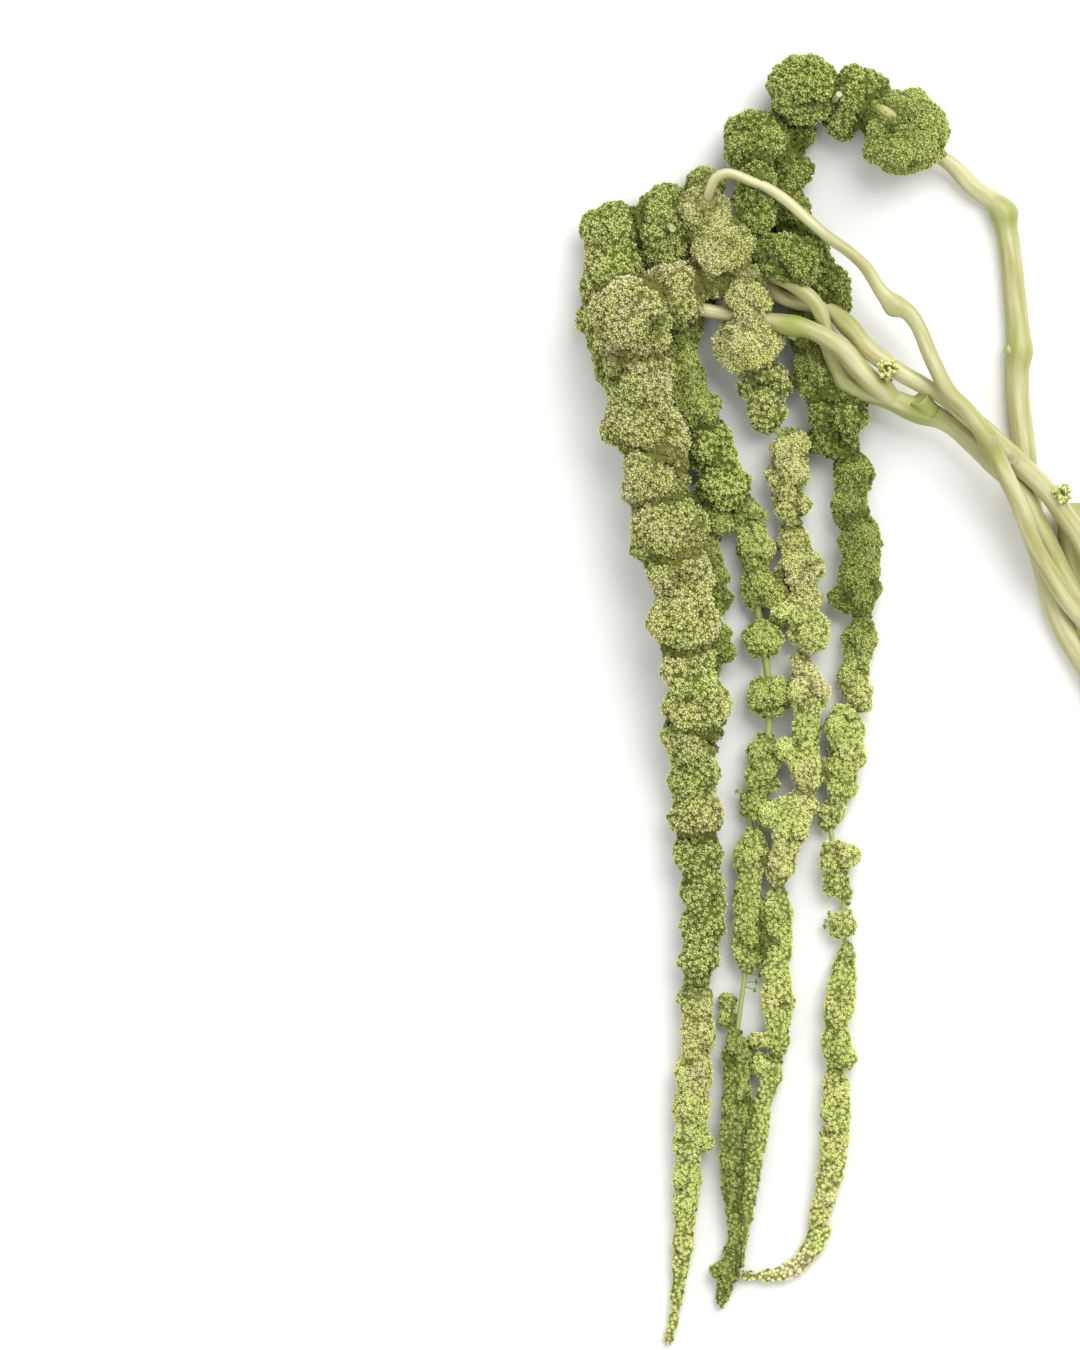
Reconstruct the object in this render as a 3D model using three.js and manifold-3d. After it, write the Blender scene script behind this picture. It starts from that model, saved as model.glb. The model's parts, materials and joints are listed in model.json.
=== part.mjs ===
// A cut branch of green hanging amaranth, lying on its side on a table.
// One leafless stalk carries four side branches, and each branch carries its long tassels:
// a thin flower axis threaded through rounded clusters of tiny flowers.
// Millimetres, +Z up, the table at z = 0. X runs across the cutting, Y from the tassel tips to the top.
import * as THREE from 'three';
import { mergeVertices } from 'three/addons/utils/BufferGeometryUtils.js';
import Module from 'manifold-3d';

const wasm = await Module();
wasm.setup();

// ---- driving dimensions, mm ----
const cuttingLength = 584; // top of the arch to the lowest tassel tip
const cuttingWidth = 336; // left-most flowers to the cut end of the stalk
const stalkDiameter = 18; // main stalk at its cut end
const archDiameter = 10.8; // branch of the arch tassel
const loopDiameter = 8; // branch that loops over into the middle tassel
const crossingDiameter = 9.4; // branch that crosses to the back tassel
const forkedDiameter = 10; // branch that forks to the front and the inner tassel
const tipDiameter = 1.5; // every flower axis where it ends
const flowerSwell = 1; // fatness of the flower clusters, 1 as grown
const clearance = 0.3; // gap between pieces that touch
const settle = 0.4; // how far the flowers press flat on the table

// The shares of the layout: its places below are written for a cutting of this size.
const layoutLength = 584;
const layoutWidth = 336;

// ---- resolution and shape of the solids ----
const stemSides = 6;
const stemSmoothing = 0.3; // spans to either side that set the direction of a ring
const sleeveSmoothing = 1;
const ringStep = 26; // longest stretch between two rings of a stem
const sleeveSides = 6;
const bigFrom = 11.5; // swellings of this radius and more are made rounder
const bigSides = 8;
const sleeveEnd = 0.92; // reach of a sleeve past its last swelling, over the radius
const longestEnd = 1.35;
const sleeveEndShare = 0.42; // thickness of a sleeve's ends
const shoulderReach = 0.6; // a rounder swelling's shoulders: how far out, and how thick
const shoulderShare = 0.86;
const shoulderLimit = 0.33; // a shoulder's reach over the distance to the next swelling, at most
const neckShare = 0.8; // a pinch between two swellings, over the thinner one
const pinchedFrom = 7.2; // thinner runs have no pinches
const unevenness = 0.06; // how far the sides of a swelling differ, over its radius
const unevenTurn = { cluster: 1.7, ring: 2.3, side: 2.9 }; // radians from one to the next, to mix them up
const straightWithin = 1.2; // an axis point nearer than this to the straight line is left out
const longestSpan = 52; // between two axis points
const axisThinning = 1.6; // 1 thins an axis evenly, and more keeps its tip thin for longer
const facetAllowance = 1.06; // a faceted sleeve is thinner than a round one between its corners
const overlapAlong = 0.66; // reach past the last swelling, over the distance between swellings
const mergeWithin = 1e-4; // vertices this near are one
const tableDepth = 50; // the slab that flattens the undersides
const tableShare = 3; // its size over the cutting's

// ---- materials ----
const stemMaterial = new THREE.MeshStandardMaterial({ color: 0xdcdc9a, roughness: 0.45, metalness: 0 });
const flowerMaterial = new THREE.MeshStandardMaterial({ color: 0xa3ad5b, roughness: 0.95, metalness: 0 });
const paleFlowerMaterial = new THREE.MeshStandardMaterial({ color: 0xb9bd76, roughness: 0.95, metalness: 0 });

// ---- the layout ----
// A tassel is a list of clusters from its base to its tip, and a cluster is a list of swellings:
// [x, y, radius, height of its underside above the table, true if it hangs beside the axis].
const beside = true;

const frontTassel = [
  [[40, 474, 15.5, 12]],
  [[22, 463, 19.5, 17]],
  [[24, 437, 15.5, 16], [22, 416, 14, 12, beside], [35, 410, 13, 14]],
  [[32, 392, 15.5, 13]],
  [[38, 369, 18, 10]],
  [[43, 349, 16, 12], [45, 328, 16, 12]],
  [[47, 308, 13.5, 11], [51, 291, 15, 9]],
  [[50, 275, 14.5, 4], [50, 259, 12, 1], [51, 241, 12.5, 0]],
  [[52, 223, 11.5, 0], [54, 205, 11, 0], [54, 189, 11, 0], [52, 173, 10.5, 0]],
  [[51, 158, 9, 0], [52, 142, 8.5, 0], [50, 124, 9.5, 0], [49, 108, 9.5, 0], [48, 92, 8, 0], [47, 76, 7, 0],
    [46, 61, 5.5, 0], [45, 45, 5, 0], [43, 29, 3.5, 0], [41, 14, 2.5, 0], [38, 3, 2, 0]],
];

const innerTassel = [
  [[53, 472, 8, 0], [45, 455, 9.5, 0], [44, 440, 11, 0], [53, 422, 11, 0]],
  [[58, 406, 12, 0], [63, 389, 12.5, 0]],
  [[75, 375, 8.5, 0], [78, 360, 9.5, 0], [78, 342, 7.5, 0]],
  [[81, 320, 9.5, 0]],
  [[84, 294, 10.5, 0]],
  [[82, 269, 9, 0], [81, 256, 9, 0], [76, 246, 6.5, 0]],
  [[76, 223, 9, 0], [74, 202, 7, 0], [74, 178, 7, 0]],
  [[65.5, 156, 4.5, 0, beside], [65.5, 148, 4.5, 0, beside]],
  [[69, 135, 7, 0], [70, 119, 6.5, 0], [69, 106, 7, 0], [68, 90, 7, 0], [69, 76, 7, 0], [70, 62, 6, 0],
    [70, 50, 5, 0], [66, 35, 5, 0], [63, 22, 3.5, 0]],
];

const middleTassel = [
  [[54, 511, 12, 12], [63, 496, 15, 10], [57, 483, 11, 10, beside]],
  [[74, 474, 11, 15], [74, 454, 15, 4]],
  [[82, 434, 12.5, 1], [83, 421, 10, 0]],
  [[94, 405, 11, 0], [92, 394, 11, 0], [94, 380, 9.5, 0]],
  [[95, 364, 8, 0], [98, 351, 12, 0], [99, 338, 9, 0], [102, 324, 11, 0]],
  [[99, 308, 5.5, 4], [102, 295, 10.5, 4], [100, 277, 7.5, 4], [101, 261, 9, 2]],
  [[98, 245, 9, 3], [93, 232, 9, 5], [89, 217, 7.5, 3]],
  [[88, 201, 7, 1], [88, 184, 7, 0], [87, 171, 6.5, 0], [88, 155, 8, 0], [88, 140, 7, 0]],
  [[86, 124, 5, 1], [81, 111, 4.5, 3], [78, 94, 5.5, 5], [76, 79, 4.5, 6], [75, 63, 3, 6], [73, 47, 2, 6],
    [72, 37, 1.6, 6]],
];

const backTassel = [
  [[55, 523, 10, 0]],
  [[38, 509, 16, 0]],
  [[13, 503, 14, 0], [13, 483, 15, 0]],
  [[9, 461, 11.5, 0], [16, 440, 11, 0]],
  [[26, 418, 10, 0], [35, 396, 9.5, 0], [45, 376, 9.5, 0]],
  [[53, 360, 10, 0], [57, 346, 10, 0], [55, 335, 7.5, 0], [58, 323, 10, 0], [55, 308, 8, 0],
    [54, 295, 7.5, 0]],
];

const archTassel = [
  [[144, 548, 19.5, 0]],
  [[126, 563, 14, 0]],
  [[99, 567, 16.5, 0]],
  [[78, 544, 15, 0], [98, 548, 7.5, 0, beside]],
  [[93, 533, 11, 0], [90, 515, 13, 0]],
  [[99, 497, 12.5, 0], [109, 478, 12, 0]],
  [[101, 461, 10, 0], [105, 437, 11, 0]],
  [[115, 420, 14, 0], [116, 407, 10, 0]],
  [[122, 394, 10.5, 0], [120, 379, 9.5, 0]],
  [[125, 364, 11, 0], [125, 344, 11, 0]],
  [[125, 320, 9, 0], [122, 302, 7.5, 0]],
  [[118, 281, 10.5, 0], [119, 267, 9.5, 0], [117, 253, 7.5, 0], [112, 241, 6.5, 0]],
  [[114, 220, 9, 0], [118, 206, 5, 0]],
  [[117, 191, 7, 0]],
  [[119, 178, 4.5, 0], [117, 166, 6.5, 0], [115, 152, 7.5, 0], [114, 136, 7.5, 0]],
  [[114, 119, 7, 0], [114, 101, 7, 0], [113, 86, 6.5, 0], [110, 72, 6, 0], [107, 60, 5, 0], [104, 48, 4, 0],
    [97, 39, 3.5, 0], [89, 34, 3, 0], [78, 32, 2.5, 0], [72, 32, 2, 0]],
];

// Clusters that grow on the bare stretch of a branch.
const loopSideFlowers = [[78, 526, 9.5, 18], [78, 511, 11, 16]];
const crossingSideFlowers = [[94, 490, 13, 17]];
const forkSprig = [[136, 443, 3.6, 20], [138, 438, 3, 20]];
const stubSprig = [[215, 385, 2.6, 22]];

// A stem is a list of stations: [x, y, thickness over the branch's diameter, height of its underside].
const mainStalk = [
  [328, 99, 1, 0], [300, 153, 0.98, 0], [273, 207, 0.95, 0], [253, 252, 0.9, 0], [239, 288, 0.84, 0],
  [232, 315, 0.78, 0], [226, 336, 0.78, 1], [222, 349, 0.66, 2], [220, 363, 0.62, 3], [219, 381, 0.6, 3],
];
const archBranch = [
  [238, 290, 0.96, 1], [224, 313, 1, 0], [214, 332, 1, 0], [209, 351, 1, 0], [204, 369, 1, 0],
  [201, 387, 1, 0], [199, 407, 1.02, 0], [196.5, 427, 1, 0], [196, 441, 1.02, 0], [197, 450, 1.1, 0],
  [196.5, 459, 1, 0], [195, 475, 0.96, 0], [193, 494, 0.92, 0], [191, 506, 0.94, 0], [189, 513, 1.05, 0],
  [184, 518.5, 0.86, 0], [176, 524, 0.76, 2], [167, 533, 0.68, 4], [157, 540, 0.6, 9],
  [148, 547, 0.5, 20], [141, 552, 0.45, 30], [134, 557, 0.42, 29],
];
const loopBranch = [
  [227, 327, 1.05, 7], [218, 337, 1.02, 11], [211, 348, 1, 14.5], [203, 361, 1, 18], [197, 377, 1, 21.5],
  [190, 392, 1, 23.5], [182, 409, 1.08, 25.5], [173, 423, 0.95, 27], [165, 431, 0.92, 27],
  [157, 447, 0.9, 26], [151, 461, 0.88, 26], [146, 467, 0.95, 25.5], [139, 470, 1.05, 25.5],
  [134, 475, 0.8, 26.5], [126, 487, 0.7, 27], [118, 494, 0.66, 28], [110, 499.5, 0.66, 29],
  [100, 508, 0.64, 30], [91, 516, 0.62, 30.5], [82, 522, 0.6, 30.5], [74, 525, 0.58, 32],
  [69, 527, 0.58, 33], [64, 528, 0.58, 34], [59.5, 526, 0.58, 34], [57, 521, 0.58, 32],
  [55.5, 516, 0.56, 27],
];
const crossingBranch = [
  [240, 292, 0.9, 6], [237, 319, 0.95, 9], [233, 344, 1, 13.5], [224, 364.5, 1, 16],
  [215.5, 377, 1, 15.5], [208, 387, 1, 15.8], [193, 401, 1.06, 16.2], [181, 413, 0.95, 17.2],
  [170, 422, 0.85, 17.8], [161, 429, 0.78, 18], [152, 434, 0.8, 18.5], [143, 439, 0.84, 19],
  [134.5, 445, 0.9, 19.2], [127, 451, 0.92, 19.6], [121.5, 458.5, 0.86, 17.6], [114.5, 465.5, 0.78, 14.4],
  [106.5, 469.5, 0.76, 12.8], [96, 471.5, 0.76, 13.6], [87, 475, 0.72, 15.4], [77, 487, 0.66, 16],
  [66, 500, 0.6, 13], [59, 514, 0.55, 7],
];
const forkedBranch = [
  [226, 334, 1, 5], [217, 347, 1, 8], [211, 359, 0.98, 9.6], [204, 372.5, 0.98, 11],
  [196, 388, 0.96, 11.4], [183, 400.5, 0.94, 12], [170, 413, 0.92, 12.5], [161, 419, 0.94, 12.8],
  [154, 422, 1.16, 12.4], [147, 424, 1.1, 12.8], [140, 427, 1, 12.8],
];
const innerArm = [
  [134, 429, 0.9, 12.4], [125.5, 432, 0.86, 12], [119, 434.7, 0.98, 11.6], [115.5, 440, 0.8, 13.4],
  [112, 447, 0.72, 15.4], [109.3, 454.5, 0.68, 16.8], [108, 462, 0.68, 19.4], [106.6, 466, 0.68, 22.4],
  [104, 470.5, 0.68, 24.4], [99.5, 475, 0.68, 25], [93.5, 479, 0.66, 24.6], [86, 482.5, 0.64, 22.4],
  [77, 486, 0.6, 17], [64, 481, 0.56, 11],
];
const frontArm = [
  [140, 427, 0.9, 13.6], [130, 435, 0.92, 17.6], [123, 442, 0.98, 20], [117, 449, 0.94, 22.6],
  [110, 454, 0.86, 24.2], [103, 458, 0.8, 24.2], [96, 460.5, 0.84, 22.8], [89, 461.5, 0.86, 21],
  [82, 463, 0.7, 20], [73, 465, 0.66, 19], [64, 466, 0.64, 19], [53, 468, 0.6, 22],
];

// Stubs of leaf stalks and of small side shoots: [x, y, radius, height of its middle] twice.
const archKnob = [[197, 449, 3, 5.4], [190.2, 451, 2.2, 6]];
const archStub = [[113, 562, 1.6, 22], [114, 563, 1.1, 33]];
const crossingStub = [[38, 509, 1.8, 17], [40, 503, 1.4, 34.5]];
const frontKnob = [[96, 460, 3.4, 25.5], [93.5, 454.5, 2.4, 25]];
const forkKnuckle = [[153, 423, 4.4, 18], [153.5, 427.5, 3.2, 20]];
const sideShoot = [[140, 428.5, 3.2, 18.6], [137, 434.5, 2, 22]];

// ---- placing ----
const acrossScale = cuttingWidth / layoutWidth;
const alongScale = cuttingLength / layoutLength;
const place = (x, y, z) => new THREE.Vector3(x * acrossScale, y * alongScale, z);

const swellings = (cluster) => cluster.map(([x, y, radius, underside, isBeside]) => ({
  centre: place(x, y, underside + radius * flowerSwell - settle),
  radius: radius * flowerSwell,
  onAxis: !isBeside,
}));

const stations = (stem, diameter) => stem.map(([x, y, share, underside]) => {
  const radius = (share * diameter) / 2;
  return { centre: place(x, y, underside + radius), radius };
});

// The flower axis runs through the middles of its clusters and thins towards its tip. A middle is left
// out where the axis would run straight past it.
function axisThrough(tassel, startRadius) {
  const middles = tassel.flatMap(swellings).filter((swelling) => swelling.onAxis);
  const tipRadius = tipDiameter / 2;
  const points = middles.slice(0, -1).map(({ centre }, index) => {
    const left = 1 - (index + 1) / middles.length;
    return { centre, radius: tipRadius + (startRadius - tipRadius) * left ** axisThinning };
  });
  const kept = [points[0]];
  for (let index = 1; index < points.length - 1; index += 1) {
    const back = kept.at(-1).centre;
    const { centre } = points[index];
    const ahead = points[index + 1].centre;
    const chord = ahead.clone().sub(back);
    const stray = chord.clone().cross(centre.clone().sub(back)).length() / chord.length();
    if (stray > straightWithin || chord.length() > longestSpan) kept.push(points[index]);
  }
  kept.push(points.at(-1));
  return kept;
}

// ---- solids ----
function toSolid(geometry) {
  geometry.deleteAttribute('normal');
  geometry.deleteAttribute('uv');
  const merged = mergeVertices(geometry, mergeWithin);
  const vertProperties = merged.attributes.position.array;
  const triVerts = new Uint32Array(merged.index.array);
  const made = new wasm.Manifold(new wasm.Mesh({ numProp: 3, vertProperties, triVerts }));
  if (made.volume() > 0) return made;
  const turned = new Uint32Array(triVerts).reverse();
  return new wasm.Manifold(new wasm.Mesh({ numProp: 3, vertProperties, triVerts: turned }));
}

function largestPiece(solid) {
  const pieces = solid.decompose();
  return pieces.reduce((best, piece) => (piece.volume() > best.volume() ? piece : best));
}

// A round solid turned as a straight profile of rings and then bent along a curve.
// Each ring is { t, radius, ahead }: its place on the curve, and how far past that place it stands.
// It stands square to the chord that reaches smoothing spans to either side.
function bentSolid(centres, rings, sides, smoothing, swell = () => 1) {
  const curve = new THREE.CatmullRomCurve3(centres, false, 'centripetal');
  const window = smoothing / (centres.length - 1);
  const pointAt = (t) => curve.getPoint(THREE.MathUtils.clamp(t, 0, 1));
  const last = rings.length - 1;
  const profile = rings.map((ring, index) => new THREE.Vector2(ring.radius, index));
  profile.unshift(new THREE.Vector2(0, 0));
  profile.push(new THREE.Vector2(0, last));
  const geometry = new THREE.LatheGeometry(profile, sides);

  const frames = rings.map(({ t, ahead = 0 }) => {
    const along = pointAt(t + window).sub(pointAt(t - window)).normalize();
    const across = new THREE.Vector3(-along.y, along.x, 0).normalize();
    const rise = new THREE.Vector3().crossVectors(across, along);
    return { middle: pointAt(t).addScaledVector(along, ahead), across, rise };
  });
  const position = geometry.attributes.position;
  for (let i = 0; i < position.count; i += 1) {
    const ring = Math.round(position.getY(i));
    const side = Math.floor(i / profile.length) % sides;
    const { middle, across, rise } = frames[ring];
    const point = across.clone().multiplyScalar(position.getX(i)).addScaledVector(rise, position.getZ(i));
    point.multiplyScalar(swell(ring, side)).add(middle);
    position.setXYZ(i, point.x, point.y, point.z);
  }
  return toSolid(geometry);
}

function stemSolid(stationList, grow = 0) {
  const spans = stationList.length - 1;
  const rings = [];
  for (let span = 0; span < spans; span += 1) {
    const from = stationList[span];
    const to = stationList[span + 1];
    const steps = Math.max(1, Math.round(from.centre.distanceTo(to.centre) / ringStep));
    for (let step = 0; step < steps; step += 1) {
      const share = step / steps;
      const radius = THREE.MathUtils.lerp(from.radius, to.radius, share) + grow;
      rings.push({ t: (span + share) / spans, radius });
    }
  }
  rings.push({ t: 1, radius: stationList[spans].radius + grow });
  rings[0].ahead = -grow;
  rings.at(-1).ahead = grow;
  return bentSolid(stationList.map(({ centre }) => centre), rings, stemSides, stemSmoothing);
}

const stubStations = (stub) => stub.map(([x, y, radius, z]) => ({ centre: place(x, y, z), radius }));
const stubSolid = (stub, grow = 0) => stemSolid(stubStations(stub), grow);

// A run of swellings: a scalloped sleeve along the axis, pinched between each two.
function sleeveSolid(list, seed, grow) {
  const single = list.length === 1;
  const centres = list.map(({ centre }) => centre);
  if (single) centres.push(centres[0].clone().add(new THREE.Vector3(0, 1, 0)));
  const spans = centres.length - 1;
  const gaps = list.slice(1).map(({ centre }, index) => centre.distanceTo(list[index].centre));
  const endReach = (radius, gap = 0) => {
    const toNeighbour = Math.min(gap * overlapAlong, radius * alongScale * longestEnd);
    return Math.max(radius * alongScale * sleeveEnd, toNeighbour) + grow;
  };
  const isBig = ({ radius }) => radius >= bigFrom * flowerSwell;

  const first = list[0];
  const final = list.at(-1);
  const end = ({ radius }, t, ahead) => ({ t, radius: radius * sleeveEndShare + grow, ahead });
  const rings = [end(first, 0, -endReach(first.radius, gaps[0]))];
  list.forEach((swelling, index) => {
    const { radius } = swelling;
    const t = single ? 0 : index / spans;
    const shoulder = { t, radius: radius * shoulderShare + grow };
    const rounded = single || isBig(swelling);
    const reachTo = (gap = Infinity) => Math.min(radius * shoulderReach, gap * shoulderLimit);
    if (rounded) rings.push({ ...shoulder, ahead: -reachTo(gaps[index - 1]) });
    rings.push({ t, radius: radius + grow });
    if (rounded) rings.push({ ...shoulder, ahead: reachTo(gaps[index]) });
    if (index < list.length - 1 && radius > pinchedFrom * flowerSwell) {
      const pinched = Math.min(radius, list[index + 1].radius) * neckShare + grow;
      rings.push({ t: (index + 0.5) / spans, radius: pinched });
    }
  });
  rings.push(end(final, single ? 0 : 1, endReach(final.radius, gaps.at(-1))));

  const sides = list.some(isBig) ? bigSides : sleeveSides;
  const swell = (ring, side) => {
    const turn = seed * unevenTurn.cluster + ring * unevenTurn.ring + side * unevenTurn.side;
    return facetAllowance + unevenness * Math.sin(turn);
  };
  return bentSolid(centres, rings, sides, sleeveSmoothing, swell);
}

// One cluster: the sleeve around the axis, and each swelling beside it joined on.
function clusterSolid(cluster, seed, grow = 0) {
  const list = swellings(cluster);
  const around = list.filter(({ onAxis }) => onAxis);
  const runs = list.filter(({ onAxis }) => !onAxis).map((swelling) => [swelling]);
  if (around.length) runs.unshift(around);
  return runs.map((run, index) => sleeveSolid(run, seed + index, grow)).reduce((sum, run) => sum.add(run));
}

// ---- the pieces ----
const part = new THREE.Group();
const table = new THREE.BoxGeometry(tableShare * cuttingWidth, tableShare * cuttingLength, tableDepth);
const belowTable = toSolid(table.translate(0, 0, -tableDepth / 2)); // soft flowers lie flat where they touch
const cutters = []; // every piece so far, grown by the clearance

function addPiece(name, material, shape) {
  let solid = shape(0);
  const box = solid.boundingBox();
  const meets = ({ min, max }) => [0, 1, 2].every((k) => min[k] < box.max[k] && max[k] > box.min[k]);
  cutters.filter(({ bounds }) => meets(bounds)).forEach(({ grown }) => {
    solid = solid.subtract(grown);
  });
  solid = largestPiece(solid.subtract(belowTable));
  const grown = shape(clearance);
  cutters.push({ grown, bounds: grown.boundingBox() });

  const { vertProperties, triVerts } = solid.getMesh();
  const geometry = new THREE.BufferGeometry();
  geometry.setAttribute('position', new THREE.BufferAttribute(new Float32Array(vertProperties), 3));
  geometry.setIndex(new THREE.BufferAttribute(new Uint32Array(triVerts), 1));
  geometry.computeVertexNormals();
  const mesh = new THREE.Mesh(geometry, material.clone());
  mesh.name = name;
  part.add(mesh);
}

function addStem(name, stationLists, stubs = []) {
  addPiece(name, stemMaterial, (grow) => {
    const tubes = stationLists.map((list) => stemSolid(list, grow));
    const knobs = stubs.map((stub) => stubSolid(stub, grow));
    return [...tubes, ...knobs].reduce((sum, piece) => sum.add(piece));
  });
}

let seed = 0;
function addFlowers(name, cluster, material = flowerMaterial) {
  seed += 1;
  const own = seed;
  addPiece(name, material, (grow) => clusterSolid(cluster, own, grow));
}

function addTassel(name, tassel, material) {
  tassel.forEach((cluster, index) => {
    addFlowers(`${name}_flowers_${String(index + 1).padStart(2, '0')}`, cluster, material);
  });
}

const withAxis = (list, tassel) => [...list, ...axisThrough(tassel, list.at(-1).radius)];

const innerRoute = stations([...forkedBranch, ...innerArm], forkedDiameter);
const frontRoute = stations(frontArm, forkedDiameter);
const archRoute = stations(archBranch, archDiameter);
const crossingRoute = stations(crossingBranch, crossingDiameter);
const loopRoute = stations(loopBranch, loopDiameter);
const firstEntered = 1; // the arch branch lies over its first cluster and enters the next

addStem('main_stalk', [stations(mainStalk, stalkDiameter)]);
addStem('arch_branch', [withAxis(archRoute, archTassel.slice(firstEntered))], [archKnob, archStub]);
addStem(
  'forked_branch',
  [withAxis(innerRoute, innerTassel), withAxis(frontRoute, frontTassel)],
  [forkKnuckle, sideShoot, frontKnob],
);
addStem('crossing_branch', [withAxis(crossingRoute, backTassel)], [crossingStub]);
addStem('loop_branch', [withAxis(loopRoute, middleTassel)]);

addFlowers('loop_side_flowers', loopSideFlowers);
addTassel('middle_tassel', middleTassel, paleFlowerMaterial);
addTassel('front_tassel', frontTassel, paleFlowerMaterial);
addFlowers('crossing_side_flowers', crossingSideFlowers);
addTassel('inner_tassel', innerTassel, flowerMaterial);
addTassel('back_tassel', backTassel, flowerMaterial);
addTassel('arch_tassel', archTassel, flowerMaterial);
addFlowers('fork_sprig_flowers', forkSprig);
addFlowers('stub_sprig_flowers', stubSprig);

// The origin is under the middle of the cutting, on the table.
const box = new THREE.Box3().setFromObject(part);
const middle = box.getCenter(new THREE.Vector3());
part.children.forEach((mesh) => mesh.geometry.translate(-middle.x, -middle.y, -box.min.z));

export default part;
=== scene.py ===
import json
import math
import random

import bmesh
import bpy
import numpy as np
from mathutils import Matrix, Vector, noise
from mathutils.bvhtree import BVHTree
from mathutils.kdtree import KDTree

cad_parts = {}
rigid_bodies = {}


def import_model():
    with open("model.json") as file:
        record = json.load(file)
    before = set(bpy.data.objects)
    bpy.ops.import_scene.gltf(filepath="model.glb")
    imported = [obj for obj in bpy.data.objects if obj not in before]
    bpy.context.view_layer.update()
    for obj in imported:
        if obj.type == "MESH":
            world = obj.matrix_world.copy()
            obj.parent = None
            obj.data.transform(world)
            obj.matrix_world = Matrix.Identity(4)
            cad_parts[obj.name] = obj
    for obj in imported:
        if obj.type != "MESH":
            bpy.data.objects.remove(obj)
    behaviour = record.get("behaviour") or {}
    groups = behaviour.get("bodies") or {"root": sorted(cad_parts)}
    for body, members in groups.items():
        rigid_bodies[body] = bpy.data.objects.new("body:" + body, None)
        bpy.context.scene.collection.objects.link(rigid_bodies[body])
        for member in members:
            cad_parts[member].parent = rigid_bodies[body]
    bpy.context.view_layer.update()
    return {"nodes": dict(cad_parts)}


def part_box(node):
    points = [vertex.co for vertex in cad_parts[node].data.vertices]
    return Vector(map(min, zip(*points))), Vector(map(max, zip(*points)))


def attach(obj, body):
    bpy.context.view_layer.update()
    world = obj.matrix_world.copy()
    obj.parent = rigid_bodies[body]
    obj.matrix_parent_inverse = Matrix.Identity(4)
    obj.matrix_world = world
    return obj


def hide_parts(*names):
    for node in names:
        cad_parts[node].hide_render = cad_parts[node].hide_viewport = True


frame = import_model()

scene = bpy.context.scene
scene.view_settings.view_transform = "Standard"

studio = {
    "aim": (-0.185, 0.0125, 0.015),   # middle of the view
    "tall": 0.6075,                   # what the view takes in, top to bottom
    "lens": 200,
    "sensor": 36,
    "floorSize": 14,
    "floorColour": (0.96, 0.96, 0.955, 1),
    "skyStrength": 0.56,
    "keyFrom": (0.9, 1.5, 2.1),
    "keySize": 2.2,
    "keyPower": 72,
    "fillFrom": (-1.6, -0.7, 2.2),
    "fillSize": 2.4,
    "fillPower": 18,
}


def pointAt(thing, target):
    thing.rotation_euler = (Vector(target) - thing.location).to_track_quat("-Z", "Y").to_euler()


def addSoftbox(name, place, size, power):
    lamp = bpy.data.lights.new(name, "AREA")
    lamp.size = size
    lamp.energy = power
    box = bpy.data.objects.new(name, lamp)
    box.location = place
    scene.collection.objects.link(box)
    pointAt(box, studio["aim"])


def setStudio():
    eye = bpy.data.cameras.new("overheadCamera")
    eye.lens = studio["lens"]
    eye.sensor_width = studio["sensor"]
    camera = bpy.data.objects.new("overheadCamera", eye)
    x, y, z = studio["aim"]
    camera.location = (x, y, z + studio["tall"] * studio["lens"] / studio["sensor"])
    scene.collection.objects.link(camera)
    scene.camera = camera

    addSoftbox("keySoftbox", studio["keyFrom"], studio["keySize"], studio["keyPower"])
    addSoftbox("fillSoftbox", studio["fillFrom"], studio["fillSize"], studio["fillPower"])

    sky = bpy.data.worlds.new("paleRoom")
    sky.use_nodes = True
    sky.node_tree.nodes["Background"].inputs["Color"].default_value = (1, 1, 1, 1)
    sky.node_tree.nodes["Background"].inputs["Strength"].default_value = studio["skyStrength"]
    scene.world = sky

    ground = bmesh.new()
    bmesh.ops.create_grid(ground, x_segments=1, y_segments=1, size=studio["floorSize"] / 2)
    mesh = bpy.data.meshes.new("paleTable")
    ground.to_mesh(mesh)
    ground.free()
    table = bpy.data.objects.new("paleTable", mesh)
    scene.collection.objects.link(table)
    paint = bpy.data.materials.new("tablePaint")
    paint.use_nodes = True
    paint.node_tree.nodes["Principled BSDF"].inputs["Base Color"].default_value = studio["floorColour"]
    paint.node_tree.nodes["Principled BSDF"].inputs["Roughness"].default_value = 0.8
    mesh.materials.append(paint)


def newMaterial(name, roughness, sockets):
    material = bpy.data.materials.new(name)
    material.use_nodes = True
    shader = material.node_tree.nodes["Principled BSDF"]
    shader.inputs["Roughness"].default_value = roughness
    for socket, value in sockets.items():
        shader.inputs[socket].default_value = value
    return material, material.node_tree, shader


def addRamp(tree, stops, source):
    ramp = tree.nodes.new("ShaderNodeValToRGB")
    steps = ramp.color_ramp.elements
    while len(steps) < len(stops):
        steps.new(0.5)
    for step, (place, colour) in zip(steps, stops):
        step.position = place
        step.color = (*colour, 1)
    tree.links.new(source, ramp.inputs["Fac"])
    return ramp.outputs["Color"]


def addMix(tree, factor, first, second, mode="MIX"):
    mix = tree.nodes.new("ShaderNodeMix")
    mix.data_type = "RGBA"
    mix.blend_type = mode
    for socket, value in ((mix.inputs["Factor"], factor), (mix.inputs[6], first), (mix.inputs[7], second)):
        if isinstance(value, bpy.types.NodeSocket):
            tree.links.new(value, socket)
        else:
            socket.default_value = value
    return mix.outputs[2]


# The flower map runs along a tone, from deep green to dry cream, and up from the crevices to the tips; the
# dark crevice end is painted shade over the florets' own green bases.

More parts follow.
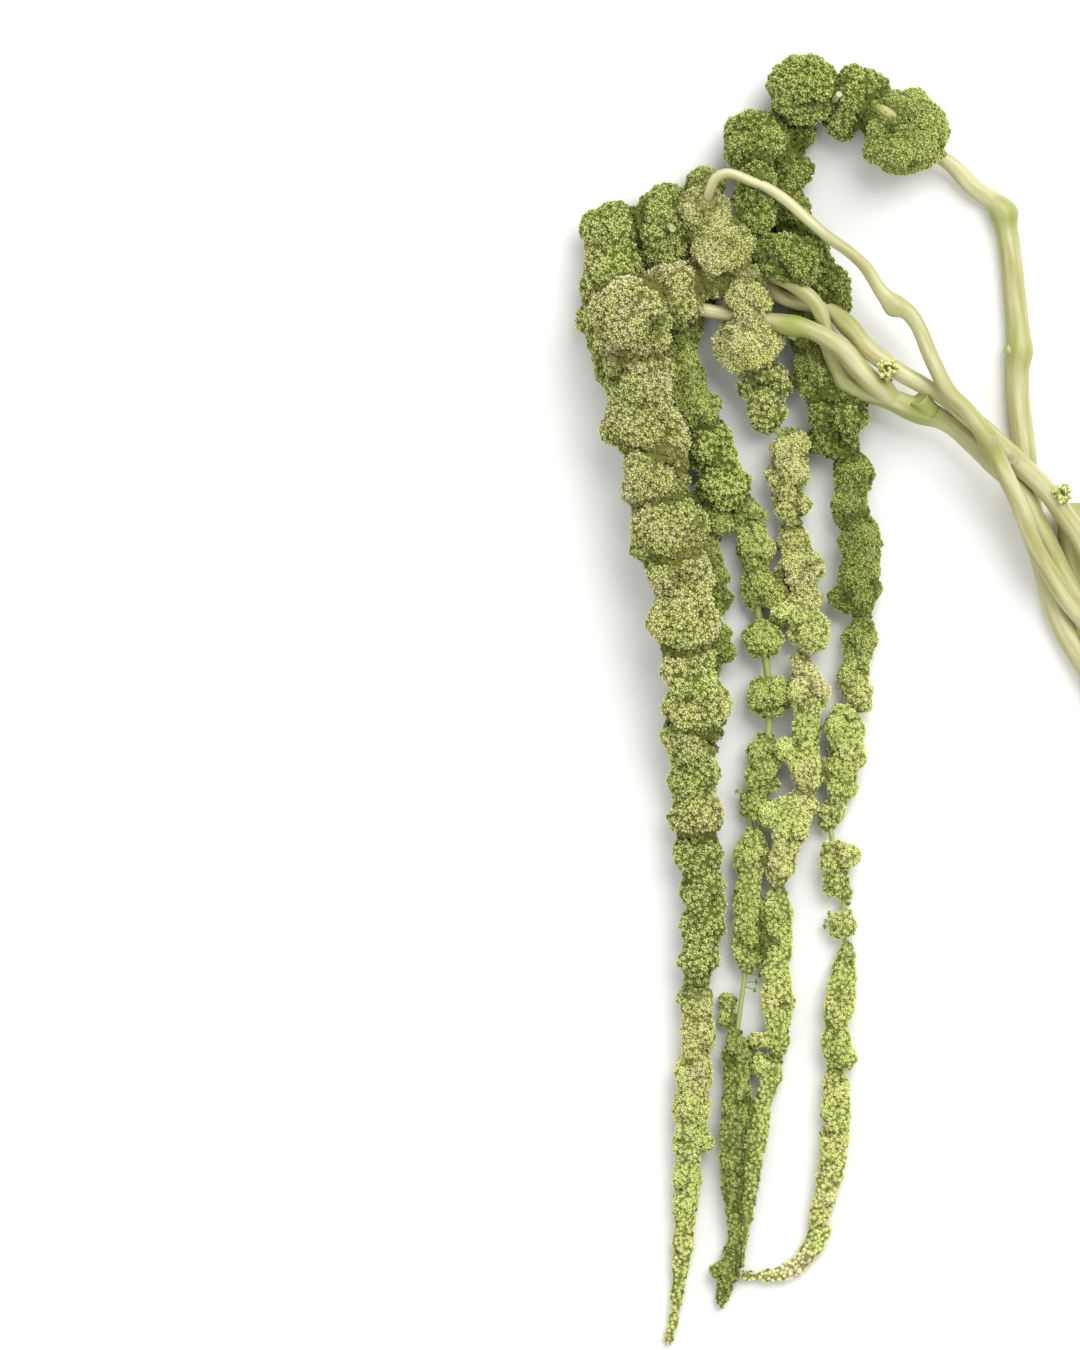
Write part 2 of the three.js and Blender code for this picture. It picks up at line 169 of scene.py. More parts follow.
flowerColours = {
    "roughness": 0.8,
    "sheen": 0.08,
    "gloss": 0.2,
    "tips": [
        (0.0, (0.52, 0.57, 0.16)), (0.35, (0.74, 0.81, 0.24)), (0.65, (0.90, 0.95, 0.34)),
        (0.85, (0.95, 0.94, 0.44)), (1.0, (0.97, 0.91, 0.56)),
    ],
    # painted shade: the dark colour between florets and on the bare shell, deepening the florets' own green
    "creases": [(0.0, (0.05, 0.07, 0.004)), (0.5, (0.09, 0.12, 0.008)), (1.0, (0.16, 0.155, 0.025))],
    "rise": [(0.0, (0, 0, 0)), (0.25, (0.10, 0.10, 0.10)), (0.5, (0.62, 0.62, 0.62)), (0.75, (1, 1, 1))],
}


def makeFlowerSkin():
    material, tree, shader = newMaterial(
        "flowerSkin", flowerColours["roughness"],
        {"Sheen Weight": flowerColours["sheen"], "Specular IOR Level": flowerColours["gloss"]})
    chart = tree.nodes.new("ShaderNodeUVMap")
    chart.uv_map = "OFBake"
    parts = tree.nodes.new("ShaderNodeSeparateXYZ")
    tree.links.new(chart.outputs["UV"], parts.inputs["Vector"])
    tips = addRamp(tree, flowerColours["tips"], parts.outputs["X"])
    creases = addRamp(tree, flowerColours["creases"], parts.outputs["X"])
    # the rise ramp fades the painted crease shade out towards the tips
    rise = addRamp(tree, flowerColours["rise"], parts.outputs["Y"])
    tree.links.new(addMix(tree, rise, creases, tips), shader.inputs["Base Color"])
    return material


stemColours = {
    "roughness": 0.42,
    "glow": 0.12,
    "glowDepth": 0.002,
    "bumpStrength": 0.25,
    "bumpHeight": 0.0003,
    "flesh": (0.42, 0.395, 0.15),
    "pale": (0.66, 0.635, 0.38),
    "green": (0.30, 0.36, 0.06),
    "scar": (0.40, 0.34, 0.20),
    "streak": (0.40, 0.41, 0.14),
}


def makeStemSkin():
    material, tree, shader = newMaterial(
        "stemSkin", stemColours["roughness"],
        {"Subsurface Weight": stemColours["glow"], "Subsurface Scale": stemColours["glowDepth"]})
    grain = tree.nodes.new("ShaderNodeAttribute")
    grain.attribute_name = "grain"
    def streaks(scale, detail):
        mapping = tree.nodes.new("ShaderNodeMapping")
        mapping.inputs["Scale"].default_value = scale
        tree.links.new(grain.outputs["Vector"], mapping.inputs["Vector"])
        pattern = tree.nodes.new("ShaderNodeTexNoise")
        pattern.inputs["Scale"].default_value = 1
        pattern.inputs["Detail"].default_value = detail
        tree.links.new(mapping.outputs["Vector"], pattern.inputs["Vector"])
        return pattern.outputs["Fac"]
    fine = streaks((1400, 1400, 45), 3)
    broad = streaks((260, 260, 30), 2)
    colour = addMix(tree, addRamp(tree, [(0.35, (0, 0, 0)), (0.65, (1, 1, 1))], broad),
                    (*stemColours["flesh"], 1), (*stemColours["pale"], 1))
    fineLines = addRamp(tree, [(0.55, (0, 0, 0)), (0.75, (0.5, 0.5, 0.5))], fine)
    colour = addMix(tree, fineLines, colour, (*stemColours["streak"], 1))
    for name in ("green", "scar"):
        patch = tree.nodes.new("ShaderNodeAttribute")
        patch.attribute_name = name
        colour = addMix(tree, patch.outputs["Fac"], colour, (*stemColours[name], 1))
    tree.links.new(colour, shader.inputs["Base Color"])
    bump = tree.nodes.new("ShaderNodeBump")
    bump.inputs["Strength"].default_value = stemColours["bumpStrength"]
    bump.inputs["Distance"].default_value = stemColours["bumpHeight"]
    tree.links.new(fine, bump.inputs["Height"])
    tree.links.new(bump.outputs["Normal"], shader.inputs["Normal"])
    return material


clusterShape = {
    "voxel": 0.0016,
    "thinVoxel": 0.0009,
    "thinGirth": 0.0075,    # runs thinner than this take the thin voxel
    "smoothing": 4,
    "tipStep": 0.0016,
    "base": 0.06,           # how far up the colour map the bare shell is
    "thinBase": 0.26,
    "inset": 0.0016,        # room that the florets fill
    "lobeSize": 0.0135,
    "lobeHeight": 0.0070,
    "fullGirth": 0.013,     # this far from the axis, lobes have their full size
    "close": 0.0004,        # how far touching clusters press into each other
    "lip": 0.0120,          # curds go this far in between them
    "crease": 0.006,        # a furrow this wide runs where two clusters meet
    "contact": 0.0017,      # nearer than this to a neighbour, the shell is pressed flat
    "facing": 0.45,         # and only where it looks this straight at it
    "localRange": (0.3, 1.05),
    "lobeSpread": (0.8, 1.2),
    "lobeTries": 9000,
    "lobeWidth": 0.85,
    "lobeLevel": 0.80,      # how much of a lobe lies below the shell as it was
    "lowSide": -0.35,       # normals below this are on the underside
    "lowRise": 0.3,
    "leastSize": 0.45,
    "furrowDepth": 0.25,
    "drift": ((45, 0.28), (130, 0.16)),     # tone wanders by noise of this scale and depth
    # painted shade: lobe hollows and furrows where clusters meet are set darker, lobe crowns lighter
    "hollowLight": 0.42,
    "crownLight": 0.60,
    "furrowShade": 0.5,
}
curdShape = {
    "kinds": 7,
    "size": 0.00158,        # radius of one little head of florets
    "spacing": 0.0022,
    "thinSpacing": 0.0015,
    "underShare": 0.15,     # how many of them grow on the side the plant lies on
    "underSize": 1.25,
    "cutBelow": -0.25,      # over the radius, as are the next three
    "merge": 0.12,
    "jitter": 0.10,
    "spikes": (0.25, 0.62),
    "toneSpread": (-0.13, 0.13),
    "reach": (0.72, 1.0),   # how far up the colour map its tips come
    "tilt": 0.35,
    "sizeSpread": (0.78, 1.2),
    "toneDrift": 0.09,
    "thread": (0.3, 0.2),   # a single head's stalk, at its foot and its top
    "seed": 11,
}


def makeCurds():
    # little heads of pointed florets, in several kinds
    drawer = bpy.data.collections.new("curdKinds")
    rng = random.Random(curdShape["seed"])
    for kind in range(curdShape["kinds"]):
        bm = bmesh.new()
        bmesh.ops.create_icosphere(bm, subdivisions=1, radius=1)
        turn = Matrix.Rotation(rng.uniform(0, math.tau), 3, "X")
        turn = turn @ Matrix.Rotation(rng.uniform(0, math.tau), 3, "Y")
        bmesh.ops.rotate(bm, verts=bm.verts, cent=(0, 0, 0), matrix=turn)
        bmesh.ops.bisect_plane(
            bm, geom=bm.verts[:] + bm.edges[:] + bm.faces[:], plane_co=(0, 0, curdShape["cutBelow"]),
            plane_no=(0, 0, 1), clear_inner=True)
        bmesh.ops.remove_doubles(bm, verts=bm.verts, dist=curdShape["merge"])
        for v in bm.verts:
            v.co += Vector([rng.uniform(-1, 1) for _ in range(3)]) * curdShape["jitter"]
        tops = bm.faces[:]
        bmesh.ops.holes_fill(bm, edges=[e for e in bm.edges if e.is_boundary], sides=0)
        poked = bmesh.ops.poke(bm, faces=tops, offset=0, center_mode="MEAN")
        tips = poked["verts"]
        for v in tips:
            v.co += v.co.normalized() * rng.uniform(*curdShape["spikes"])
        bmesh.ops.recalc_face_normals(bm, faces=bm.faces)
        chart = bm.loops.layers.uv.new("OFBake")
        tipSet = set(tips)
        lean = {v: (rng.uniform(*curdShape["toneSpread"]), rng.uniform(*curdShape["reach"])) for v in tips}
        for face in bm.faces:
            own = [v for v in face.verts if v in tipSet]
            tone, reach = lean[own[0]] if own else (0, 0.1)
            side = -0.01
            for loop in face.loops:
                # painted shade: the lower flanks of each head, and the tips there, sit lower on the map than
                # its top
                height = min(1, max(0, loop.vert.co.z))
                if loop.vert in tipSet:
                    loop[chart].uv = (tone, reach * (0.5 + 0.5 * height))
                else:
                    loop[chart].uv = (tone + side, 0.04 + 0.24 * height)
                    side = -side
        mesh = bpy.data.meshes.new(f"curd{kind}")
        bm.to_mesh(mesh)
        bm.free()
        drawer.objects.link(bpy.data.objects.new(f"curd{kind}", mesh))
    return drawer


def makeScatter(drawer):
    # geometry nodes: points on the shell, a curd on each, and the shell itself
    tree = bpy.data.node_groups.new("growCurds", "GeometryNodeTree")
    tree.interface.new_socket("Geometry", in_out="INPUT", socket_type="NodeSocketGeometry")
    tree.interface.new_socket("Spacing", in_out="INPUT", socket_type="NodeSocketFloat")
    tree.interface.new_socket("Seed", in_out="INPUT", socket_type="NodeSocketInt")
    tree.interface.new_socket("Geometry", in_out="OUTPUT", socket_type="NodeSocketGeometry")
    def add(kind, **settings):
        node = tree.nodes.new(kind)
        for key, value in settings.items():
            setattr(node, key, value)
        return node
    def join(source, target):
        tree.links.new(source, target)
    def attribute(name, kind="FLOAT"):
        node = add("GeometryNodeInputNamedAttribute", data_type=kind)
        node.inputs["Name"].default_value = name
        return node.outputs["Attribute"]
    def randomBetween(low, high, seed):
        node = add("FunctionNodeRandomValue", data_type="FLOAT")
        node.inputs[2].default_value = low
        node.inputs[3].default_value = high
        node.inputs["Seed"].default_value = seed
        return node.outputs[1]
    def times(first, second):
        node = add("ShaderNodeMath", operation="MULTIPLY")
        join(first, node.inputs[0])
        join(second, node.inputs[1])
        return node.outputs[0]
    def plus(first, second):
        node = add("ShaderNodeMath", operation="ADD")
        join(first, node.inputs[0])
        join(second, node.inputs[1])
        return node.outputs[0]

    source = add("NodeGroupInput")
    spots = add("GeometryNodeDistributePointsOnFaces", distribute_method="POISSON")
    join(source.outputs["Geometry"], spots.inputs["Mesh"])
    join(source.outputs["Spacing"], spots.inputs["Distance Min"])
    join(source.outputs["Seed"], spots.inputs["Seed"])
    spots.inputs["Density Max"].default_value = 1e6
    join(attribute("open"), spots.inputs["Density Factor"])

    kinds = add("GeometryNodeCollectionInfo")
    kinds.inputs["Collection"].default_value = drawer
    kinds.inputs["Separate Children"].default_value = True
    kinds.inputs["Reset Children"].default_value = True

    spin = add("FunctionNodeEulerToRotation")
    turn = add("ShaderNodeCombineXYZ")
    join(randomBetween(0, math.tau, 3), turn.inputs["Z"])
    join(turn.outputs[0], spin.inputs[0])
    join(randomBetween(-curdShape["tilt"], curdShape["tilt"], 12), turn.inputs["X"])
    join(randomBetween(-curdShape["tilt"], curdShape["tilt"], 13), turn.inputs["Y"])
    upright = add("FunctionNodeRotateRotation", rotation_space="LOCAL")
    join(spots.outputs["Rotation"], upright.inputs["Rotation"])
    join(spin.outputs[0], upright.inputs["Rotate By"])

    plant = add("GeometryNodeInstanceOnPoints")
    join(spots.outputs["Points"], plant.inputs["Points"])
    join(kinds.outputs[0], plant.inputs["Instance"])
    plant.inputs["Pick Instance"].default_value = True
    join(upright.outputs[0], plant.inputs["Rotation"])
    join(times(attribute("plump"), randomBetween(*curdShape["sizeSpread"], 5)), plant.inputs["Scale"])

    tinted = add("GeometryNodeStoreNamedAttribute", data_type="FLOAT", domain="INSTANCE")
    tinted.inputs["Name"].default_value = "tone"
    join(plant.outputs[0], tinted.inputs["Geometry"])
    drift = randomBetween(-curdShape["toneDrift"], curdShape["toneDrift"], 9)
    join(plus(attribute("tone"), drift), tinted.inputs["Value"])

    solid = add("GeometryNodeRealizeInstances")
    join(tinted.outputs[0], solid.inputs[0])

    parts = add("ShaderNodeSeparateXYZ")
    join(attribute("OFBake", "FLOAT_VECTOR"), parts.inputs[0])
    chart = add("ShaderNodeCombineXYZ")
    join(plus(parts.outputs["X"], attribute("tone")), chart.inputs["X"])
    # the stored lift scales the colour map down as painted shade in hollows and furrows
    join(times(parts.outputs["Y"], attribute("lift")), chart.inputs["Y"])
    charted = add("GeometryNodeStoreNamedAttribute", data_type="FLOAT2", domain="CORNER")
    charted.inputs["Name"].default_value = "OFBake"
    join(solid.outputs[0], charted.inputs["Geometry"])
    join(chart.outputs[0], charted.inputs["Value"])

    both = add("GeometryNodeJoinGeometry")
    join(charted.outputs[0], both.inputs[0])
    join(source.outputs["Geometry"], both.inputs[0])
    result = add("NodeGroupOutput")
    join(both.outputs[0], result.inputs["Geometry"])
    return tree


def bakeModifiers(thing):
    # the object's evaluated mesh takes the place of its own
    view = bpy.context.evaluated_depsgraph_get()
    finished = bpy.data.meshes.new_from_object(thing.evaluated_get(view), depsgraph=view)
    thing.modifiers.clear()
    old = thing.data
    thing.data = finished
    bpy.data.meshes.remove(old)


def mergedCopy(node, name):
    bm = bmesh.new()
    bm.from_mesh(frame["nodes"][node].data)
    bmesh.ops.remove_doubles(bm, verts=bm.verts, dist=1e-6)
    mesh = bpy.data.meshes.new(name)
    bm.to_mesh(mesh)
    bm.free()
    copy = bpy.data.objects.new(name, mesh)
    scene.collection.objects.link(copy)
    return copy


def surfaceOf(nodes):
    corners, faces = [], []
    for node in nodes:
        mesh = frame["nodes"][node].data
        start = len(corners)
        corners.extend(v.co.copy() for v in mesh.vertices)
        faces.extend([start + i for i in p.vertices] for p in mesh.polygons)
    return BVHTree.FromPolygons(corners, faces) if faces else None


def boxesMeet(first, second, margin):
    a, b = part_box(first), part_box(second)
    return all(a[0][k] - margin < b[1][k] and b[0][k] - margin < a[1][k] for k in range(3))


def storeValues(mesh, name, values):
    layer = mesh.attributes.get(name) or mesh.attributes.new(name, "FLOAT", "POINT")
    layer.data.foreach_set("value", np.asarray(values, np.float32))


def addHeads(mesh, places, tone, seed):
    # single heads at given places, each on a thread to the next place
    if not places:
        return
    bm = bmesh.new()
    chart = bm.loops.layers.uv.new("OFBake")
    rng = random.Random(seed)
    kinds = [thing.data for thing in curdDrawer.objects]
    for place, root, size in places:
        shade, light = tone(place)
        before = set(bm.verts)
        bm.from_mesh(rng.choice(kinds))
        head = [v for v in bm.verts if v not in before]
        along = (place - root).normalized()
        matrix = Matrix.Translation(place) @ along.to_track_quat("Z", "Y").to_matrix().to_4x4()
        bmesh.ops.transform(bm, matrix=matrix @ Matrix.Scale(size, 4), verts=head)
        for face in {f for v in head for f in v.link_faces}:
            for loop in face.loops:
                loop[chart].uv.x += shade
                loop[chart].uv.y *= light
        length = (place - root).length
        middle = Matrix.Translation((place + root) / 2) @ along.to_track_quat("Z", "Y").to_matrix().to_4x4()
        foot, top = curdShape["thread"]
        thread = bmesh.ops.create_cone(
            bm, cap_ends=True, segments=5, radius1=size * foot, radius2=size * top,
            depth=length, matrix=middle)
        for face in {f for v in thread["verts"] for f in v.link_faces}:
            for k, loop in enumerate(face.loops):
                loop[chart].uv = (shade + 0.01 * (k % 2), 0.32 + 0.02 * (k % 3))
    extra = bpy.data.meshes.new("heads")
    bm.to_mesh(extra)
    bm.clear()
    bm.from_mesh(mesh)
    bm.from_mesh(extra)
    bm.to_mesh(mesh)
    bm.free()
    bpy.data.meshes.remove(extra)


def sprigHeads(root, middle, spread, count, seed):
    rng = random.Random(seed)
    heads = []
    for _ in range(count):
        away = Vector((rng.gauss(0, 1), rng.gauss(0, 1), rng.gauss(0, 0.6))).normalized()
        place = Vector(middle) + away * spread * rng.uniform(0.35, 1)
        heads.append((place, Vector(root), rng.uniform(0.0006, 0.00105)))
    return heads


def roundShell(node, name, lumps):
    shell = mergedCopy(node, name)
    bm = bmesh.new()
    bm.from_mesh(shell.data)
    for x, y, z, radius in lumps:
        bmesh.ops.create_icosphere(bm, subdivisions=3, radius=radius, matrix=Matrix.Translation((x, y, z)))
    bm.to_mesh(shell.data)
    bm.free()
    thin = flowerAxes.girth(node) < clusterShape["thinGirth"]
    remesh = shell.modifiers.new("rounded", "REMESH")
    remesh.mode = "VOXEL"
    remesh.voxel_size = clusterShape["thinVoxel" if thin else "voxel"]
    relax = shell.modifiers.new("relaxed", "SMOOTH")
    relax.factor = 0.5
    relax.iterations = clusterShape["smoothing"]
    bakeModifiers(shell)
    crease = clusterShape["crease"]
    around = surfaceOf([n for n in frame["nodes"] if n != node and boxesMeet(n, node, crease)])
    spots = []
    for v in shell.data.vertices:
        near, _, _, gap = around.find_nearest(v.co, crease) if around else (None, None, None, None)
        facing = near is not None and (near - v.co).normalized().dot(v.normal) > clusterShape["facing"]
        least, most = clusterShape["localRange"]
        local = min(most, max(least, flowerAxes.distance(v.co) / clusterShape["fullGirth"]))
        spots.append((v.co.copy(), v.normal.copy(), local, gap, facing and gap < clusterShape["contact"]))
    outside = KDTree(len(spots))
    for i, spot in enumerate(spots):
        if not spot[4]:
            outside.insert(spot[0], i)
    outside.balance()
    spots = [spot + (outside.find(spot[0])[2] if spot[4] else 0,) for spot in spots]
    return {"shell": shell, "node": node, "thin": thin, "spots": spots, "crumbs": []}


def placeLobes(group, seed):
    # lobe centres spread over a whole tassel, closer together where it is thin
    rng = random.Random(seed)
    spots = [s for part in group for s in part["spots"] if not s[4]]
    rng.shuffle(spots)
    centres, sizes = np.empty((0, 3)), np.empty(0)
    for place, _, local, _, _, _ in spots[:clusterShape["lobeTries"]]:
        size = clusterShape["lobeSize"] * local * rng.uniform(*clusterShape["lobeSpread"])
        if len(sizes) and (np.linalg.norm(centres - place, axis=1) < (sizes + size) / 2).any():
            continue
        centres = np.vstack((centres, place))
        sizes = np.append(sizes, size)
    tree = KDTree(len(sizes))
    for i, centre in enumerate(centres):
        tree.insert(centre, i)
    tree.balance()
    return tree, sizes


def growFlowers(part, lobes, tone, index):
    # shell set in by the florets' height, swollen into lobes, and grown over with curds
    shell, node = part["shell"], part["node"]
    tree, sizes = lobes
    mesh = shell.data
    openness, plump, tones, paintedShading, moved = [], [], [], [], []
    for place, normal, local, gap, touching, depth in part["spots"]:
        dome = 0
        for _, i, distance in tree.find_n(place, 3):
            dome = max(dome, math.sqrt(max(0, 1 - (distance / (clusterShape["lobeWidth"] * sizes[i])) ** 2)))
        under = normal.z < clusterShape["lowSide"]
        size = clusterShape["leastSize"] + (1 - clusterShape["leastSize"]) * min(1, local)
        furrow = (1 - gap / clusterShape["crease"]) ** 2 if gap is not None else 0
        rise = clusterShape["lobeHeight"] * local * (dome - clusterShape["lobeLevel"])
        push = rise * (clusterShape["lowRise"] if under else 1)
        push -= clusterShape["inset"] * size * (1 + clusterShape["furrowDepth"] * furrow)
        if touching:
            push = clusterShape["close"] if depth > clusterShape["lip"] else -clusterShape["close"]
        moved.extend(place + normal * push)
        openness.append(0 if depth > clusterShape["lip"] else curdShape["underShare"] if under else 1)
        plump.append(curdShape["size"] * size * (curdShape["underSize"] if under else 1))
        drift = sum(noise.noise(place * scale) * share for scale, share in clusterShape["drift"])
        shade, light = tone(place)
        tones.append(shade + drift)
        # painted shade: darker in the hollows between lobes and in the furrows, lighter on the crowns
        crown = min(1, max(0, (dome - 0.3) / 0.5))
        lift = clusterShape["hollowLight"] + clusterShape["crownLight"] * crown
        lift *= 1 - clusterShape["furrowShade"] * furrow
        paintedShading.append(light * (1 - (1 - lift) * min(1, local / 0.6)))
    mesh.vertices.foreach_set("co", moved)
    storeValues(mesh, "open", openness)
    storeValues(mesh, "plump", plump)
    storeValues(mesh, "tone", tones)
    storeValues(mesh, "lift", paintedShading)
    chart = mesh.uv_layers.new(name="OFBake")
    base = clusterShape["thinBase" if part["thin"] else "base"]
    for loop in mesh.loops:
        side = 0.006 if loop.index % 2 else -0.006
        chart.data[loop.index].uv = (tones[loop.vertex_index] + side, base + 0.02 * (loop.index % 3))

    scatter = shell.modifiers.new("curds", "NODES")
    scatter.node_group = curdScatter
    scatter["Socket_1"] = curdShape["thinSpacing" if part["thin"] else "spacing"]
    scatter["Socket_2"] = index + 1
    bakeModifiers(shell)
    addHeads(shell.data, part["crumbs"], tone, index)
    finishFlowers(shell)
    shell.data.materials.clear()
    shell.data.materials.append(flowerSkin)
    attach(shell, "root")
    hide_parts(node)
    return shell


def finishFlowers(piece):
    # keeps everything on the table, and the tones inside the map
    mesh = piece.data
    co = np.empty(len(mesh.vertices) * 3, np.float32)
    mesh.vertices.foreach_get("co", co)
    co = co.reshape(-1, 3)
    co[:, 2] = np.maximum(co[:, 2], 0.0)
    mesh.vertices.foreach_set("co", co.ravel())
    chart = mesh.uv_layers["OFBake"]
    uv = np.empty(len(mesh.loops) * 2, np.float32)
    chart.data.foreach_get("uv", uv)
    uv = uv.reshape(-1, 2)
    uv[:, 0] = 0.02 + 0.96 * np.clip(uv[:, 0], 0, 1)
    chart.data.foreach_set("uv", uv.ravel())
    for name in ("open", "plump", "tone", "lift"):
        if name in mesh.attributes:
            mesh.attributes.remove(mesh.attributes[name])
    mesh.update()


# A route is a list of stations: x, y, height of the middle, radius.

mainStalkRoute = [
    (0.1623, -0.1922, 0.0090, 0.0090), (0.1343, -0.1382, 0.0088, 0.0088), (0.1073, -0.0842, 0.0085, 0.0086),
    (0.0873, -0.0392, 0.0081, 0.0081), (0.0733, -0.0032, 0.0076, 0.0076), (0.0663, 0.0238, 0.0070, 0.0070),
    (0.0603, 0.0448, 0.0080, 0.0070), (0.0563, 0.0578, 0.0079, 0.0059), (0.0543, 0.0718, 0.0086, 0.0056),
    (0.0533, 0.0898, 0.0084, 0.0054),
]
archRoute = [
    (0.0723, -0.0012, 0.0062, 0.0052), (0.0583, 0.0218, 0.0054, 0.0054), (0.0483, 0.0408, 0.0054, 0.0054),
    (0.0433, 0.0598, 0.0054, 0.0054), (0.0383, 0.0778, 0.0054, 0.0054), (0.0353, 0.0958, 0.0054, 0.0054),
    (0.0333, 0.1158, 0.0055, 0.0055), (0.0308, 0.1358, 0.0054, 0.0054), (0.0303, 0.1498, 0.0055, 0.0055),
    (0.0313, 0.1588, 0.0059, 0.0059), (0.0308, 0.1678, 0.0054, 0.0054), (0.0293, 0.1838, 0.0052, 0.0052),
    (0.0273, 0.2028, 0.0050, 0.0050), (0.0253, 0.2148, 0.0051, 0.0051), (0.0233, 0.2218, 0.0057, 0.0057),
    (0.0183, 0.2273, 0.0046, 0.0046), (0.0103, 0.2328, 0.0061, 0.0041), (0.0013, 0.2418, 0.0077, 0.0037),
    (-0.0087, 0.2488, 0.0122, 0.0032), (-0.0177, 0.2558, 0.0227, 0.0027), (-0.0247, 0.2608, 0.0324, 0.0024),
    (-0.0317, 0.2658, 0.0313, 0.0023),
]
archAxis = [
    (-0.0397, 0.2718, 0.0136, 0.0022), (-0.0667, 0.2758, 0.0161, 0.0021), (-0.0877, 0.2528, 0.0146, 0.0021),
    (-0.0727, 0.2418, 0.0106, 0.0020), (-0.0757, 0.2238, 0.0126, 0.0020), (-0.0567, 0.1868, 0.0116, 0.0019),
    (-0.0647, 0.1698, 0.0096, 0.0018), (-0.0607, 0.1458, 0.0106, 0.0017), (-0.0507, 0.1288, 0.0136, 0.0017),
    (-0.0497, 0.1158, 0.0096, 0.0016), (-0.0437, 0.1028, 0.0101, 0.0016), (-0.0457, 0.0878, 0.0091, 0.0015),
    (-0.0407, 0.0728, 0.0106, 0.0015), (-0.0407, 0.0288, 0.0086, 0.0014), (-0.0437, 0.0108, 0.0071, 0.0013),
    (-0.0477, -0.0102, 0.0101, 0.0013), (-0.0467, -0.0242, 0.0091, 0.0013),
    (-0.0487, -0.0382, 0.0071, 0.0012), (-0.0537, -0.0502, 0.0061, 0.0012),
    (-0.0517, -0.0712, 0.0086, 0.0011), (-0.0477, -0.0852, 0.0046, 0.0011),
    (-0.0487, -0.1002, 0.0066, 0.0011), (-0.0467, -0.1132, 0.0041, 0.0010),
    (-0.0507, -0.1392, 0.0071, 0.0010), (-0.0517, -0.1902, 0.0066, 0.0009),
    (-0.0587, -0.2312, 0.0046, 0.0008), (-0.0617, -0.2432, 0.0036, 0.0008),
    (-0.0687, -0.2522, 0.0031, 0.0008), (-0.0767, -0.2572, 0.0026, 0.0008),
    (-0.0877, -0.2592, 0.0021, 0.0008),
]
innerRoute = [
    (0.0603, 0.0428, 0.0100, 0.0050), (0.0513, 0.0558, 0.0130, 0.0050), (0.0453, 0.0678, 0.0145, 0.0049),
    (0.0383, 0.0813, 0.0159, 0.0049), (0.0303, 0.0968, 0.0162, 0.0048), (0.0173, 0.1093, 0.0167, 0.0047),
    (0.0043, 0.1218, 0.0171, 0.0046), (-0.0047, 0.1278, 0.0175, 0.0047), (-0.0117, 0.1308, 0.0182, 0.0058),
    (-0.0187, 0.1328, 0.0183, 0.0055), (-0.0257, 0.1358, 0.0178, 0.0050), (-0.0317, 0.1378, 0.0169, 0.0045),
    (-0.0402, 0.1408, 0.0163, 0.0043), (-0.0467, 0.1435, 0.0165, 0.0049), (-0.0502, 0.1488, 0.0174, 0.0040),
    (-0.0537, 0.1558, 0.0190, 0.0036), (-0.0564, 0.1633, 0.0202, 0.0034), (-0.0577, 0.1708, 0.0228, 0.0034),
    (-0.0591, 0.1748, 0.0258, 0.0034), (-0.0617, 0.1793, 0.0278, 0.0034), (-0.0662, 0.1838, 0.0284, 0.0034),
    (-0.0722, 0.1878, 0.0279, 0.0033), (-0.0797, 0.1913, 0.0256, 0.0032), (-0.0887, 0.1948, 0.0200, 0.0030),
    (-0.1017, 0.1898, 0.0138, 0.0028),
]
innerAxis = [
    (-0.1127, 0.1808, 0.0076, 0.0027), (-0.1207, 0.1638, 0.0091, 0.0026), (-0.1217, 0.1488, 0.0106, 0.0024),
    (-0.1127, 0.1308, 0.0106, 0.0023), (-0.1027, 0.0978, 0.0121, 0.0021), (-0.0907, 0.0838, 0.0081, 0.0020),
    (-0.0877, 0.0688, 0.0091, 0.0019), (-0.0877, 0.0508, 0.0071, 0.0018), (-0.0817, 0.0028, 0.0101, 0.0016),
    (-0.0847, -0.0352, 0.0086, 0.0014), (-0.0897, -0.0452, 0.0061, 0.0013),
    (-0.0897, -0.0682, 0.0086, 0.0013), (-0.0917, -0.0892, 0.0066, 0.0012),
    (-0.0917, -0.1132, 0.0066, 0.0011), (-0.0967, -0.1562, 0.0066, 0.0011),
    (-0.0977, -0.2012, 0.0066, 0.0009), (-0.0957, -0.2412, 0.0046, 0.0008),
    (-0.0997, -0.2562, 0.0046, 0.0008),
]
frontRoute = [
    (-0.0257, 0.1358, 0.0181, 0.0045), (-0.0357, 0.1438, 0.0222, 0.0046), (-0.0427, 0.1508, 0.0249, 0.0049),
    (-0.0487, 0.1578, 0.0273, 0.0047), (-0.0557, 0.1628, 0.0285, 0.0043), (-0.0627, 0.1668, 0.0282, 0.0040),
    (-0.0697, 0.1693, 0.0270, 0.0042), (-0.0767, 0.1703, 0.0253, 0.0043), (-0.0837, 0.1718, 0.0235, 0.0035),
    (-0.0927, 0.1738, 0.0223, 0.0033), (-0.1017, 0.1748, 0.0222, 0.0032), (-0.1127, 0.1768, 0.0250, 0.0030),
]
